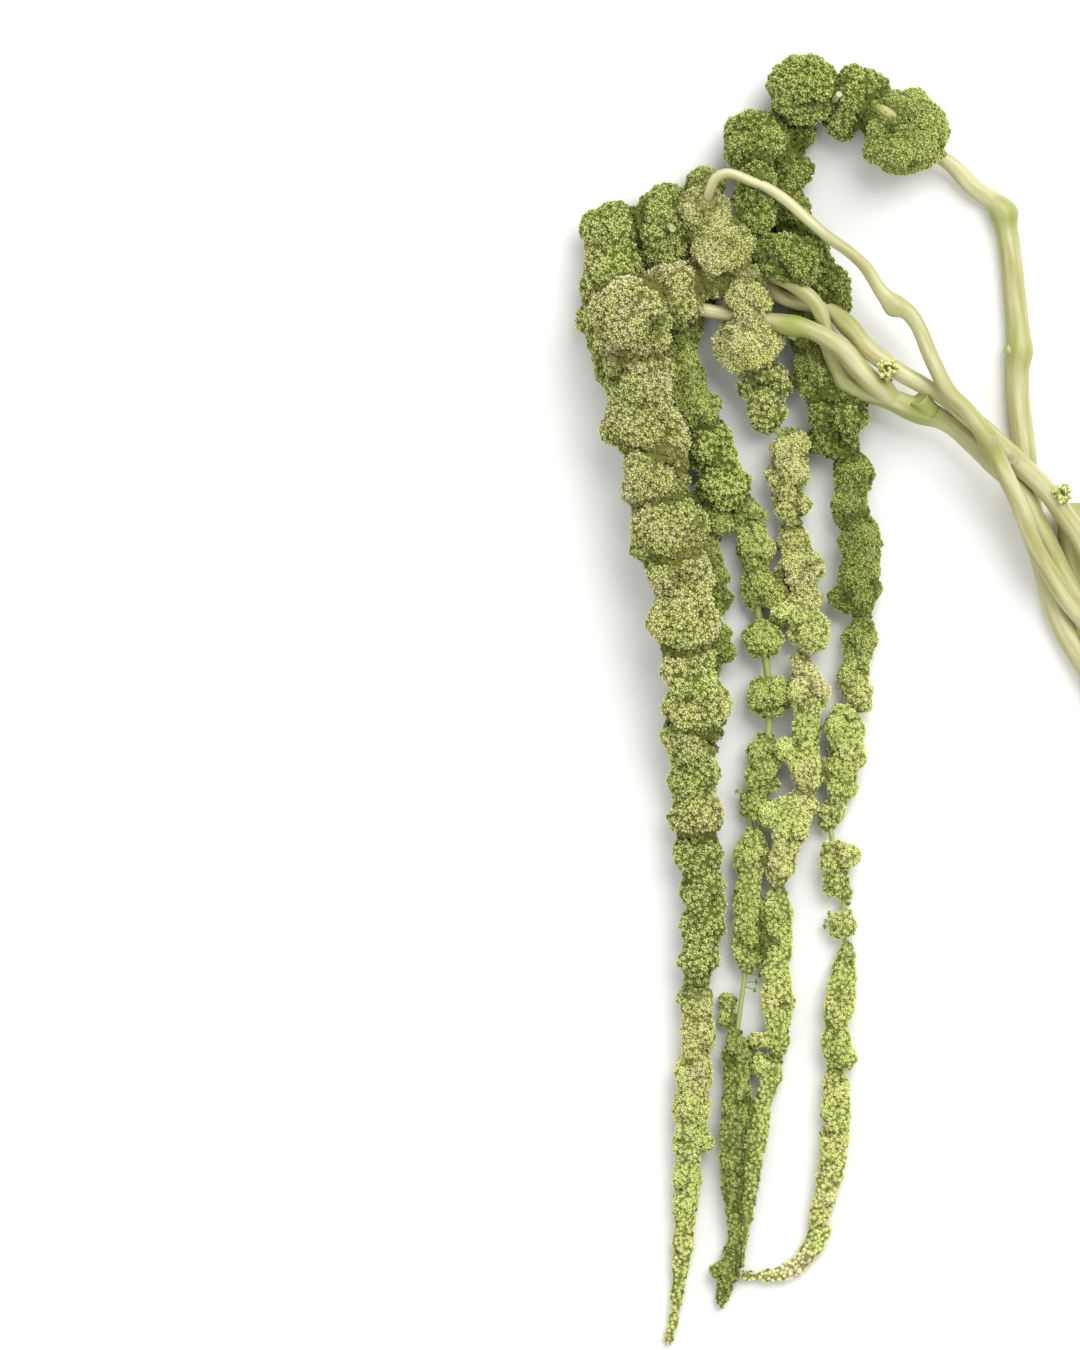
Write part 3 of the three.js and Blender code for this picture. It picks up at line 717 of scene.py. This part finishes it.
frontAxis = [
    (-0.1257, 0.1828, 0.0271, 0.0029), (-0.1437, 0.1718, 0.0361, 0.0028), (-0.1417, 0.1458, 0.0311, 0.0026),
    (-0.1307, 0.1188, 0.0266, 0.0025), (-0.1337, 0.1008, 0.0281, 0.0024), (-0.1227, 0.0578, 0.0276, 0.0022),
    (-0.1207, 0.0368, 0.0276, 0.0021), (-0.1187, 0.0168, 0.0241, 0.0020),
    (-0.1147, -0.0002, 0.0236, 0.0019), (-0.1157, -0.0322, 0.0126, 0.0017),
    (-0.1137, -0.0682, 0.0111, 0.0015), (-0.1117, -0.1022, 0.0106, 0.0013),
    (-0.1147, -0.1332, 0.0086, 0.0012), (-0.1137, -0.1492, 0.0081, 0.0011),
    (-0.1167, -0.1832, 0.0091, 0.0010), (-0.1197, -0.2302, 0.0051, 0.0009),
    (-0.1247, -0.2772, 0.0021, 0.0008),
]
crossingRoute = [
    (0.0743, 0.0008, 0.0102, 0.0042), (0.0713, 0.0278, 0.0135, 0.0045), (0.0673, 0.0528, 0.0182, 0.0047),
    (0.0583, 0.0733, 0.0207, 0.0047), (0.0498, 0.0858, 0.0202, 0.0047), (0.0423, 0.0958, 0.0205, 0.0047),
    (0.0273, 0.1098, 0.0212, 0.0050), (0.0153, 0.1218, 0.0217, 0.0045), (0.0043, 0.1308, 0.0218, 0.0040),
    (-0.0047, 0.1378, 0.0217, 0.0037), (-0.0137, 0.1428, 0.0223, 0.0038), (-0.0227, 0.1478, 0.0229, 0.0040),
    (-0.0312, 0.1538, 0.0234, 0.0042), (-0.0387, 0.1598, 0.0239, 0.0043), (-0.0442, 0.1673, 0.0216, 0.0040),
    (-0.0512, 0.1743, 0.0181, 0.0037), (-0.0592, 0.1783, 0.0164, 0.0036), (-0.0697, 0.1803, 0.0172, 0.0036),
    (-0.0787, 0.1838, 0.0188, 0.0034), (-0.0887, 0.1958, 0.0191, 0.0031), (-0.0997, 0.2088, 0.0158, 0.0028),
    (-0.1067, 0.2228, 0.0096, 0.0026),
]
crossingAxis = [
    (-0.1107, 0.2318, 0.0096, 0.0024), (-0.1277, 0.2178, 0.0156, 0.0022), (-0.1527, 0.2118, 0.0136, 0.0020),
    (-0.1527, 0.1918, 0.0146, 0.0019), (-0.1567, 0.1698, 0.0111, 0.0017), (-0.1497, 0.1488, 0.0106, 0.0016),
    (-0.1307, 0.1048, 0.0091, 0.0013), (-0.1127, 0.0688, 0.0096, 0.0011), (-0.1087, 0.0548, 0.0096, 0.0010),
    (-0.1107, 0.0438, 0.0071, 0.0009), (-0.1077, 0.0318, 0.0096, 0.0008), (-0.1107, 0.0168, 0.0076, 0.0008),
]
loopRoute = [
    (0.0613, 0.0358, 0.0112, 0.0042), (0.0523, 0.0458, 0.0151, 0.0041), (0.0453, 0.0568, 0.0185, 0.0040),
    (0.0373, 0.0698, 0.0220, 0.0040), (0.0313, 0.0858, 0.0255, 0.0040), (0.0243, 0.1008, 0.0275, 0.0040),
    (0.0157, 0.1174, 0.0298, 0.0043), (0.0062, 0.1310, 0.0308, 0.0038), (-0.0019, 0.1392, 0.0307, 0.0037),
    (-0.0099, 0.1552, 0.0296, 0.0036), (-0.0158, 0.1690, 0.0295, 0.0035), (-0.0204, 0.1752, 0.0293, 0.0038),
    (-0.0267, 0.1788, 0.0297, 0.0042), (-0.0317, 0.1838, 0.0297, 0.0032), (-0.0397, 0.1958, 0.0298, 0.0028),
    (-0.0477, 0.2028, 0.0306, 0.0026), (-0.0557, 0.2083, 0.0316, 0.0026), (-0.0657, 0.2168, 0.0326, 0.0026),
    (-0.0747, 0.2248, 0.0330, 0.0025), (-0.0837, 0.2308, 0.0329, 0.0024), (-0.0917, 0.2338, 0.0343, 0.0023),
    (-0.0967, 0.2358, 0.0353, 0.0023), (-0.1017, 0.2368, 0.0363, 0.0023), (-0.1062, 0.2348, 0.0363, 0.0023),
    (-0.1087, 0.2298, 0.0343, 0.0023), (-0.1102, 0.2248, 0.0292, 0.0022),
]
loopAxis = [
    (-0.1117, 0.2198, 0.0236, 0.0022), (-0.0917, 0.1828, 0.0256, 0.0020), (-0.0917, 0.1628, 0.0186, 0.0020),
    (-0.0837, 0.1428, 0.0131, 0.0019), (-0.0827, 0.1298, 0.0096, 0.0018), (-0.0717, 0.1138, 0.0106, 0.0018),
    (-0.0737, 0.1028, 0.0106, 0.0017), (-0.0707, 0.0728, 0.0076, 0.0016), (-0.0677, 0.0598, 0.0116, 0.0015),
    (-0.0667, 0.0468, 0.0086, 0.0015), (-0.0637, 0.0328, 0.0106, 0.0014), (-0.0667, 0.0168, 0.0091, 0.0013),
    (-0.0637, 0.0038, 0.0141, 0.0013), (-0.0657, -0.0142, 0.0111, 0.0012),
    (-0.0647, -0.0302, 0.0106, 0.0012), (-0.0677, -0.0462, 0.0116, 0.0012),
    (-0.0727, -0.0592, 0.0136, 0.0011), (-0.0767, -0.0742, 0.0101, 0.0011),
    (-0.0787, -0.1202, 0.0061, 0.0010), (-0.0777, -0.1362, 0.0076, 0.0009),
    (-0.0797, -0.1672, 0.0056, 0.0009), (-0.0847, -0.1802, 0.0071, 0.0008),
    (-0.0877, -0.1972, 0.0101, 0.0008), (-0.0927, -0.2442, 0.0076, 0.0008),
]

stemShape = {
    "sides": 20,
    "ringStep": 0.0016,
    "axisStep": 0.004,
    "ridges": 7,
    "ridgeHeight": 0.022,     # over the radius
    "unevenness": 0.045,
    "knotReach": 0.0035,
    "knotFade": 0.007,
    "insideTint": 0.75,        # how green a stem is inside its tassel
}


def smoothRoute(route, step, thinFrom=None, thinStep=None):
    # stations joined by a centripetal curve, walked in even steps
    pts = [Vector(s) for s in route]
    pts = [pts[0] * 2 - pts[1]] + pts + [pts[-1] * 2 - pts[-2]]
    out = []
    for i in range(1, len(pts) - 2):
        p0, p1, p2, p3 = pts[i - 1:i + 3]
        a, b, c = (math.sqrt(max((q - p).xyz.length, 1e-6)) for p, q in ((p0, p1), (p1, p2), (p2, p3)))
        m1 = (p2 - p1) + ((p1 - p0) / a - (p2 - p0) / (a + b)) * b
        m2 = (p2 - p1) + ((p3 - p2) / c - (p3 - p1) / (b + c)) * b
        span = (p2 - p1).xyz.length
        size = thinStep if thinFrom is not None and i > thinFrom else step
        count = max(1, round(span / size))
        for k in range(count):
            t = k / count
            h = ((2 * t - 3) * t * t + 1, t * (1 - t) ** 2, t * t * (3 - 2 * t), t * t * (t - 1))
            out.append(p1 * h[0] + m1 * h[1] + p2 * h[2] + m2 * h[3])
    out.append(pts[-2])
    return out


def ringFrames(points):
    frames = []
    side = None
    for i, p in enumerate(points):
        ahead = points[min(i + 1, len(points) - 1)].xyz - points[max(i - 1, 0)].xyz
        along = ahead.normalized()
        if side is None:
            side = along.cross(Vector((0, 0, 1)))
            if side.length < 0.1:
                side = along.cross(Vector((0, 1, 0)))
        side = (side - along * side.dot(along)).normalized()
        up = side.cross(along)
        frame3 = Matrix((side, up, along)).transposed().to_4x4()
        frame3.translation = p.xyz
        frames.append(frame3)
    return frames


def loftTube(bm, points, sides, knots=(), bareUntil=None, seed=0, tint=0.0, cuts=(False, False)):
    # a ring pushed along the route, one extrusion a step, then shaped
    grain = bm.verts.layers.float_vector.get("grain") or bm.verts.layers.float_vector.new("grain")
    green = bm.verts.layers.float.get("green") or bm.verts.layers.float.new("green")
    scar = bm.verts.layers.float.get("scar") or bm.verts.layers.float.new("scar")
    frames = ringFrames(points)
    ring = bmesh.ops.create_circle(bm, cap_ends=False, radius=1, segments=sides, matrix=frames[0])["verts"]
    edges = list({e for v in ring for e in v.link_edges})
    rings = [ring]
    for before, matrix in zip(frames, frames[1:]):
        pushed = bmesh.ops.extrude_edge_only(bm, edges=edges)["geom"]
        ring = [g for g in pushed if isinstance(g, bmesh.types.BMVert)]
        reached = set(ring)
        edges = [g for g in pushed if isinstance(g, bmesh.types.BMEdge) and set(g.verts) <= reached]
        bmesh.ops.transform(bm, matrix=matrix @ before.inverted(), verts=ring)
        rings.append(ring)
    walked = 0
    for i, (ring, matrix, point) in enumerate(zip(rings, frames, points)):
        if i:
            walked += (point.xyz - points[i - 1].xyz).length
        radius = point.w
        back = matrix.inverted()
        bare = 1 if bareUntil is None or walked < bareUntil else 0
        near = [(k, (point.xy - Vector(k["at"])).length) for k in knots]
        near = [(k, gap) for k, gap in near if gap < 0.03]
        for v in ring:
            local = back @ v.co
            angle = math.atan2(local.y, local.x)
            bend = 1.6 * noise.noise(Vector((walked * 25, seed, 0)))
            ridge = math.cos(stemShape["ridges"] * angle + seed + bend)
            wave = noise.noise(Vector((math.cos(angle), math.sin(angle), walked * 90 + seed)) * 1.1)
            share = 1 + bare * (stemShape["ridgeHeight"] * ridge + stemShape["unevenness"] * wave)
            v[green] = tint if bare else stemShape["insideTint"]
            for knot, gap in near:
                share += knot["swell"] * math.exp(-(gap / stemShape["knotReach"]) ** 2)
                fade = math.exp(-(gap / knot.get("fade", stemShape["knotFade"])) ** 2)
                v[green] = max(v[green], knot["green"] * fade)
                if "side" in knot:
                    turned = math.remainder(angle - knot["side"], math.tau) * radius
                    spread = math.hypot(gap, turned) / knot["spread"]
                    share += knot["lift"] * math.exp(-spread ** 2)
                    if knot.get("scar"):
                        share -= 0.16 * math.exp(-(spread * 2.2) ** 2)
                        v[scar] = max(v[scar], knot["scar"] * math.exp(-((spread - 0.6) * 2.4) ** 2))
            v.co = matrix @ Vector((math.cos(angle) * radius * share, math.sin(angle) * radius * share, 0))
            v[grain] = (math.cos(angle) * radius, math.sin(angle) * radius, walked + seed)
    for ring, cut in ((rings[0], cuts[0]), (rings[-1], cuts[1])):
        rim = [e for e in {e for v in ring for e in v.link_edges} if e.is_boundary]
        cap = bmesh.ops.holes_fill(bm, edges=rim, sides=0)["faces"]
        if cut:
            closeCut(bm, cap, scar)


def closeCut(bm, cap, scar):
    # a sliced end: a thin rim of skin around a slightly sunken face
    bmesh.ops.recalc_face_normals(bm, faces=bm.faces)
    across = math.sqrt(sum(f.calc_area() for f in cap) / math.pi)
    bmesh.ops.inset_region(bm, faces=cap, thickness=across * 0.14, depth=0, use_even_offset=True)
    bmesh.ops.inset_region(bm, faces=cap, thickness=across * 0.10, depth=-across * 0.10, use_even_offset=True)
    middle = bmesh.ops.poke(bm, faces=cap, offset=-across * 0.08)["verts"]
    for v in middle + [w for f in cap if f.is_valid for w in f.verts]:
        v[scar] = 0.75


def finishStem(bm, name, node):
    bmesh.ops.recalc_face_normals(bm, faces=bm.faces)
    for v in bm.verts:
        v.co.z = max(v.co.z, 0.0)
    for face in bm.faces:
        face.smooth = True
    mesh = bpy.data.meshes.new(name)
    bm.to_mesh(mesh)
    bm.free()
    piece = bpy.data.objects.new(name, mesh)
    scene.collection.objects.link(piece)
    mesh.materials.append(stemSkin)
    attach(piece, "root")
    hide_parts(node)
    return piece


stalkKnots = [{"at": (0.0562, 0.0459), "swell": 0.10, "green": 0.7, "fade": 0.012}]
archKnots = [
    {"at": (0.0262, 0.2203), "swell": 0.10, "green": 0.75, "side": 0.1, "spread": 0.0045, "lift": 0.22,
     "fade": 0.009},
    {"at": (0.0301, 0.1588), "swell": 0.08, "green": 0.55, "fade": 0.016},
    {"at": (0.0355, 0.1318), "swell": 0.02, "green": 0.1, "side": 0.2, "spread": 0.002, "lift": 0.16,
     "scar": 0.8},
]
innerKnots = [
    {"at": (-0.0136, 0.1330), "swell": 0.08, "green": 0.7, "fade": 0.010},
    {"at": (-0.0400, 0.1410), "swell": 0.10, "green": 0.6, "side": 3.0, "spread": 0.004, "lift": 0.25},
    {"at": (-0.0467, 0.1435), "swell": 0.06, "green": 0.55},
]
frontKnots = [
    {"at": (-0.0712, 0.1672), "swell": 0.05, "green": 0.85, "side": 3.1, "spread": 0.0045, "lift": 0.35},
    {"at": (-0.0350, 0.1438), "swell": 0.05, "green": 0.3},
]
crossingKnots = [
    {"at": (0.0270, 0.1094), "swell": 0.05, "green": 0.1, "side": 1.6, "spread": 0.0034, "lift": 0.10,
     "scar": 1},
    {"at": (-0.0480, 0.1690), "swell": 0.05, "green": 0.5, "side": 3.1, "spread": 0.0060, "lift": 0.30},
    {"at": (-0.0536, 0.1773), "swell": 0, "green": 0, "side": 1.5, "spread": 0.0009, "lift": 0.02, "scar": 1},
    {"at": (-0.0140, 0.1430), "swell": 0.03, "green": 0.25},
]
loopKnots = [
    {"at": (0.0166, 0.1170), "swell": 0.07, "green": 0.85, "side": 1.5, "spread": 0.0030, "lift": 0.20,
     "scar": 0.9, "fade": 0.011},
    {"at": (-0.0257, 0.1786), "swell": 0.14, "green": 0.45, "side": 3.1, "spread": 0.0035, "lift": 0.22},
    {"at": (-0.0317, 0.1840), "swell": 0.08, "green": 0.2},
]
# short pieces: x, y, z, radius at each station
archKnob = [
    (0.0300, 0.1576, 0.0068, 0.0034), (0.0268, 0.1590, 0.0076, 0.0030), (0.0250, 0.1604, 0.0080, 0.0022),
]
archStub = [
    (-0.0527, 0.2708, 0.0220, 0.0016), (-0.0520, 0.2714, 0.0290, 0.0013), (-0.0512, 0.2724, 0.0345, 0.0013),
]
crossingStub = [
    (-0.1277, 0.2178, 0.0170, 0.0018), (-0.1268, 0.2140, 0.0290, 0.0015), (-0.1256, 0.2120, 0.0350, 0.0014),
]
loopScar = [
    (0.0167, 0.1171, 0.0305, 0.0027), (0.0167, 0.1171, 0.0337, 0.0026), (0.0167, 0.1171, 0.0345, 0.0023),
]
crossingScar = [
    (0.0267, 0.1090, 0.0225, 0.0022), (0.0266, 0.1089, 0.0256, 0.0021), (0.0266, 0.1089, 0.0264, 0.0018),
]
frontKnob = [
    (-0.0697, 0.1688, 0.0255, 0.0034), (-0.0712, 0.1655, 0.0252, 0.0027), (-0.0724, 0.1632, 0.0250, 0.0018),
]
forkKnuckle = [
    (-0.0090, 0.1306, 0.0195, 0.0046), (-0.0122, 0.1332, 0.0215, 0.0045), (-0.0140, 0.1352, 0.0232, 0.0043),
    (-0.0150, 0.1366, 0.0242, 0.0044),
]
sideShoot = [
    (-0.0237, 0.1353, 0.0186, 0.0036), (-0.0266, 0.1392, 0.0205, 0.0026), (-0.0287, 0.1433, 0.0220, 0.0019),
    (-0.0296, 0.1462, 0.0232, 0.0012),
]


def growStems():
    def tube(bm, route, axis=(), knots=(), seed=0, tint=0.0, cuts=(False, False)):
        stations = list(route) + list(axis)
        points = smoothRoute(stations, stemShape["ringStep"], len(route), stemShape["axisStep"])
        bare = sum((Vector(b[:3]) - Vector(a[:3])).length for a, b in zip(route, route[1:]))
        loftTube(bm, points, stemShape["sides"], knots, bare, seed, tint, cuts)

    def stub(bm, route, seed, tint=0.0, cut=True):
        loftTube(bm, smoothRoute(route, 0.0008), 14, (), None, seed, tint, (False, cut))

    bm = bmesh.new()
    tube(bm, mainStalkRoute, knots=stalkKnots, seed=1, tint=0.45, cuts=(True, True))
    finishStem(bm, "mainStalk", "main_stalk")
    bm = bmesh.new()
    tube(bm, archRoute, archAxis, archKnots, 2, 0.08)
    stub(bm, archKnob, 7, 0.3)
    stub(bm, archStub, 8)
    finishStem(bm, "archBranch", "arch_branch")
    bm = bmesh.new()
    tube(bm, innerRoute, innerAxis, innerKnots, 3, 0.25)
    tube(bm, frontRoute, frontAxis, frontKnots, 4, 0.1)
    stub(bm, forkKnuckle, 9, 0.8)
    stub(bm, sideShoot, 10, 0.6, False)
    stub(bm, frontKnob, 11, 0.85, False)
    finishStem(bm, "forkedBranch", "forked_branch")
    bm = bmesh.new()
    tube(bm, crossingRoute, crossingAxis, crossingKnots, 5, 0.05)
    stub(bm, crossingStub, 12)
    stub(bm, crossingScar, 13, 0.1)
    finishStem(bm, "crossingBranch", "crossing_branch")
    bm = bmesh.new()
    tube(bm, loopRoute, loopAxis, loopKnots, 6, 0.05)
    stub(bm, loopScar, 14, 0.5)
    finishStem(bm, "loopBranch", "loop_branch")


class TasselAxis:
    # answers how far a place is from the flower axes
    def __init__(self, routes):
        points = [p for route in routes for p in smoothRoute(route, 0.002)]
        self.tree = KDTree(len(points))
        for i, p in enumerate(points):
            self.tree.insert(p.xyz, i)
        self.tree.balance()

    def distance(self, place):
        return self.tree.find(place)[2]

    def nearest(self, place):
        return self.tree.find(place)[0]

    def girth(self, node):
        mesh = frame["nodes"][node].data
        gaps = sorted(self.distance(v.co) for v in mesh.vertices)
        return gaps[len(gaps) // 2]


# where each tassel ends, past the end of its axis
tipEnds = {
    "inner": (-0.1025, -0.2720, 0.0040, 0.0008),
    "front": (-0.1268, -0.2905, 0.0030, 0.0008),
    "crossing": (-0.1110, 0.0000, 0.0070, 0.0008),
    "loop": (-0.0950, -0.2560, 0.0060, 0.0008),
}
flowerAxes = TasselAxis([
    archRoute[-4:] + archAxis, innerRoute[-3:] + innerAxis + [tipEnds["inner"]],
    frontRoute[-3:] + frontAxis + [tipEnds["front"]],
    crossingRoute[-4:] + crossingAxis + [tipEnds["crossing"]],
    loopRoute[-6:] + loopAxis + [tipEnds["loop"]],
])


def tonesDown(*steps):
    # tone and lightness against y, given as (y, tone, lightness) from the top down
    heights, shades, lights = zip(*reversed(steps))
    return lambda place: tuple(float(np.interp(place.y, heights, row)) for row in (shades, lights))


tassels = {
    "front": tonesDown(
        (0.181, 0.84, 1.0), (0.069, 0.72, 1.0), (0.010, 0.78, 1.15), (-0.075, 0.58, 1.0),
        (-0.188, 0.70, 1.35), (-0.25, 0.62, 1.7)),
    "middle": tonesDown((0.22, 0.80, 1.0), (0.10, 0.72, 1.15), (-0.03, 0.66, 1.40), (-0.14, 0.52, 1.5)),
    "inner": tonesDown((0.17, 0.30, 1.1), (0.02, 0.42, 1.25), (-0.10, 0.40, 1.3), (-0.20, 0.20, 1.2)),
    "back": tonesDown((0.215, 0.45, 0.95), (0.18, 0.72, 1.1), (0.13, 0.30, 1.0), (0.02, 0.28, 1.0)),
    "arch": tonesDown(
        (0.26, 0.36, 0.95), (0.235, 0.36, 0.88), (0.10, 0.20, 0.88), (0.045, 0.24, 0.9), (0.0, 0.68, 1.35),
        (-0.05, 0.60, 1.35), (-0.15, 0.56, 1.45), (-0.23, 0.70, 1.7), (-0.256, 0.95, 2.2)),
    "loop": tonesDown((0.24, 0.40, 0.9), (0.0, 0.40, 0.9)),
    "crossing": tonesDown((0.24, 0.36, 0.85), (0.0, 0.36, 0.85)),
    "fork": tonesDown((0.24, 0.72, 1.9), (0.0, 0.72, 1.9)),
    "stub": tonesDown((0.24, 0.72, 1.9), (0.0, 0.72, 1.9)),
}
# swellings that fill out a cluster: x, y, z, radius
lumps = {
    "arch_tassel_flowers_02": [(-0.0419, 0.2785, 0.0135, 0.0095), (-0.0500, 0.2605, 0.0125, 0.0080)],
    "loop_side_flowers": [(-0.0900, 0.2277, 0.0205, 0.0085)],
    "crossing_side_flowers": [(-0.0806, 0.2002, 0.0290, 0.0095)],
    "arch_tassel_flowers_06": [(-0.0743, 0.1854, 0.0085, 0.0085)],
    "arch_tassel_flowers_08": [(-0.0581, 0.1183, 0.0120, 0.0075)],
    "middle_tassel_flowers_04": [(-0.0667, 0.1161, 0.0120, 0.0070)],
    "back_tassel_flowers_05": [(-0.1058, 0.0823, 0.0090, 0.0090)],
    "inner_tassel_flowers_03": [(-0.0806, 0.0508, 0.0100, 0.0080)],
    "middle_tassel_flowers_05": [(-0.0756, 0.0396, 0.0130, 0.0055)],
    "arch_tassel_flowers_10": [(-0.0478, 0.0472, 0.0110, 0.0070)],
    "arch_tassel_flowers_11": [(-0.0401, 0.0022, 0.0090, 0.0065)],
    "back_tassel_flowers_06": [(-0.1026, 0.0463, 0.0100, 0.0060), (-0.1022, 0.0238, 0.0100, 0.0060)],
    "middle_tassel_flowers_06": [(-0.0725, -0.0212, 0.0135, 0.0070)],
    "middle_tassel_flowers_07": [(-0.0792, -0.0504, 0.0120, 0.0075)],
    "inner_tassel_flowers_06": [(-0.0851, -0.0491, 0.0090, 0.0060)],
    "arch_tassel_flowers_12": [(-0.0554, -0.0302, 0.0100, 0.0065)],
    "arch_tassel_flowers_13": [(-0.0464, -0.0684, 0.0080, 0.0060), (-0.0536, -0.0819, 0.0080, 0.0055)],
    "inner_tassel_flowers_07": [(-0.0896, -0.1166, 0.0070, 0.0045)],
    "middle_tassel_flowers_09": [(-0.0860, -0.1625, 0.0070, 0.0055)],
    "middle_tassel_flowers_08": [(-0.0873, -0.1526, 0.0065, 0.0045)],
    "arch_tassel_flowers_15": [(-0.0478, -0.1598, 0.0070, 0.0062)],
    "front_tassel_flowers_10": [(-0.1121, -0.1967, 0.0085, 0.0060)],
    "back_tassel_flowers_02": [(-0.1290, 0.2035, 0.0118, 0.0115)],
    "inner_tassel_flowers_09": [(-0.1040, -0.2562, 0.0060, 0.0042), (-0.1058, -0.2575, 0.0055, 0.0024)],
}
# the thin ends of two tassels: routes walked in steps into chains of swellings
tipRoutes = {
    "arch_tassel_flowers_16": [
        (-0.0927, -0.2580, 0.0032, 0.0025), (-0.0847, -0.2594, 0.0032, 0.0026),
        (-0.0794, -0.2592, 0.0032, 0.0027), (-0.0741, -0.2582, 0.0033, 0.0029),
        (-0.0688, -0.2552, 0.0034, 0.0032), (-0.0635, -0.2503, 0.0034, 0.0033),
        (-0.0590, -0.2439, 0.0034, 0.0033), (-0.0563, -0.2376, 0.0034, 0.0033),
    ],
    "front_tassel_flowers_10": [
        (-0.1224, -0.2629, 0.0040, 0.0028), (-0.1229, -0.2693, 0.0038, 0.0029),
        (-0.1237, -0.2757, 0.0036, 0.0027), (-0.1250, -0.2820, 0.0034, 0.0025),
        (-0.1264, -0.2880, 0.0032, 0.0023),
    ],
}
for node, route in tipRoutes.items():
    lumps[node] = lumps.get(node, []) + smoothRoute(route, clusterShape["tipStep"])
# single heads beside an axis: x, y, z
crumbs = {
    "inner": [
        (-0.0905, -0.1025, 0.006), (-0.0875, -0.1260, 0.006), (-0.0882, -0.1295, 0.007),
        (-0.0860, -0.1230, 0.005), (-0.0925, -0.1010, 0.007), (-0.0945, -0.0420, 0.008),
        (-0.0962, -0.0400, 0.007),
    ],
    "middle": [(-0.0708, 0.0190, 0.012), (-0.0722, 0.0205, 0.011), (-0.0690, 0.0205, 0.012)],
    "arch": [
        (-0.0450, -0.0985, 0.006), (-0.0440, -0.1010, 0.006), (-0.0452, -0.0940, 0.006),
        (-0.0560, -0.0985, 0.006), (-0.0545, -0.0950, 0.006), (-0.0565, -0.1010, 0.005),
    ],
}


def nearestTo(place, items, where):
    return min(items, key=lambda item: (Vector(where(item)) - Vector(place)).length)


setStudio()
flowerSkin = makeFlowerSkin()
stemSkin = makeStemSkin()
growStems()
print("stems grown")
curdDrawer = makeCurds()
curdScatter = makeScatter(curdDrawer)
groups = {}
names = sorted(n for n in frame["nodes"] if "flowers" in n)
middles = {n: [(a + b) / 2 for a, b in zip(*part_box(n))] for n in names}
for node in names:
    words = node.split("_")
    name = words[0] + "".join(w.capitalize() for w in words[1:])
    groups.setdefault(words[0], []).append(roundShell(node, name, lumps.get(node, [])))
for tassel, places in crumbs.items():
    for place in places:
        part = nearestTo(place, groups[tassel], lambda item: middles[item["node"]])
        spot = Vector(place)
        part["crumbs"].append((spot, flowerAxes.nearest(spot), 0.0011))
groups["fork"][0]["crumbs"] = sprigHeads((-0.0290, 0.1450, 0.0230), (-0.0288, 0.1496, 0.0285), 0.0050, 46, 5)
groups["stub"][0]["crumbs"] = sprigHeads((0.0512, 0.0900, 0.0235), (0.0495, 0.0934, 0.0262), 0.0046, 44, 6)
print("shells rounded")
total = 0
for seed, (tassel, group) in enumerate(sorted(groups.items())):
    lobes = placeLobes(group, seed)
    for index, part in enumerate(group):
        piece = growFlowers(part, lobes, tassels[tassel], seed * 20 + index)
        total += sum(len(p.vertices) - 2 for p in piece.data.polygons)
print("flowers grown", total)
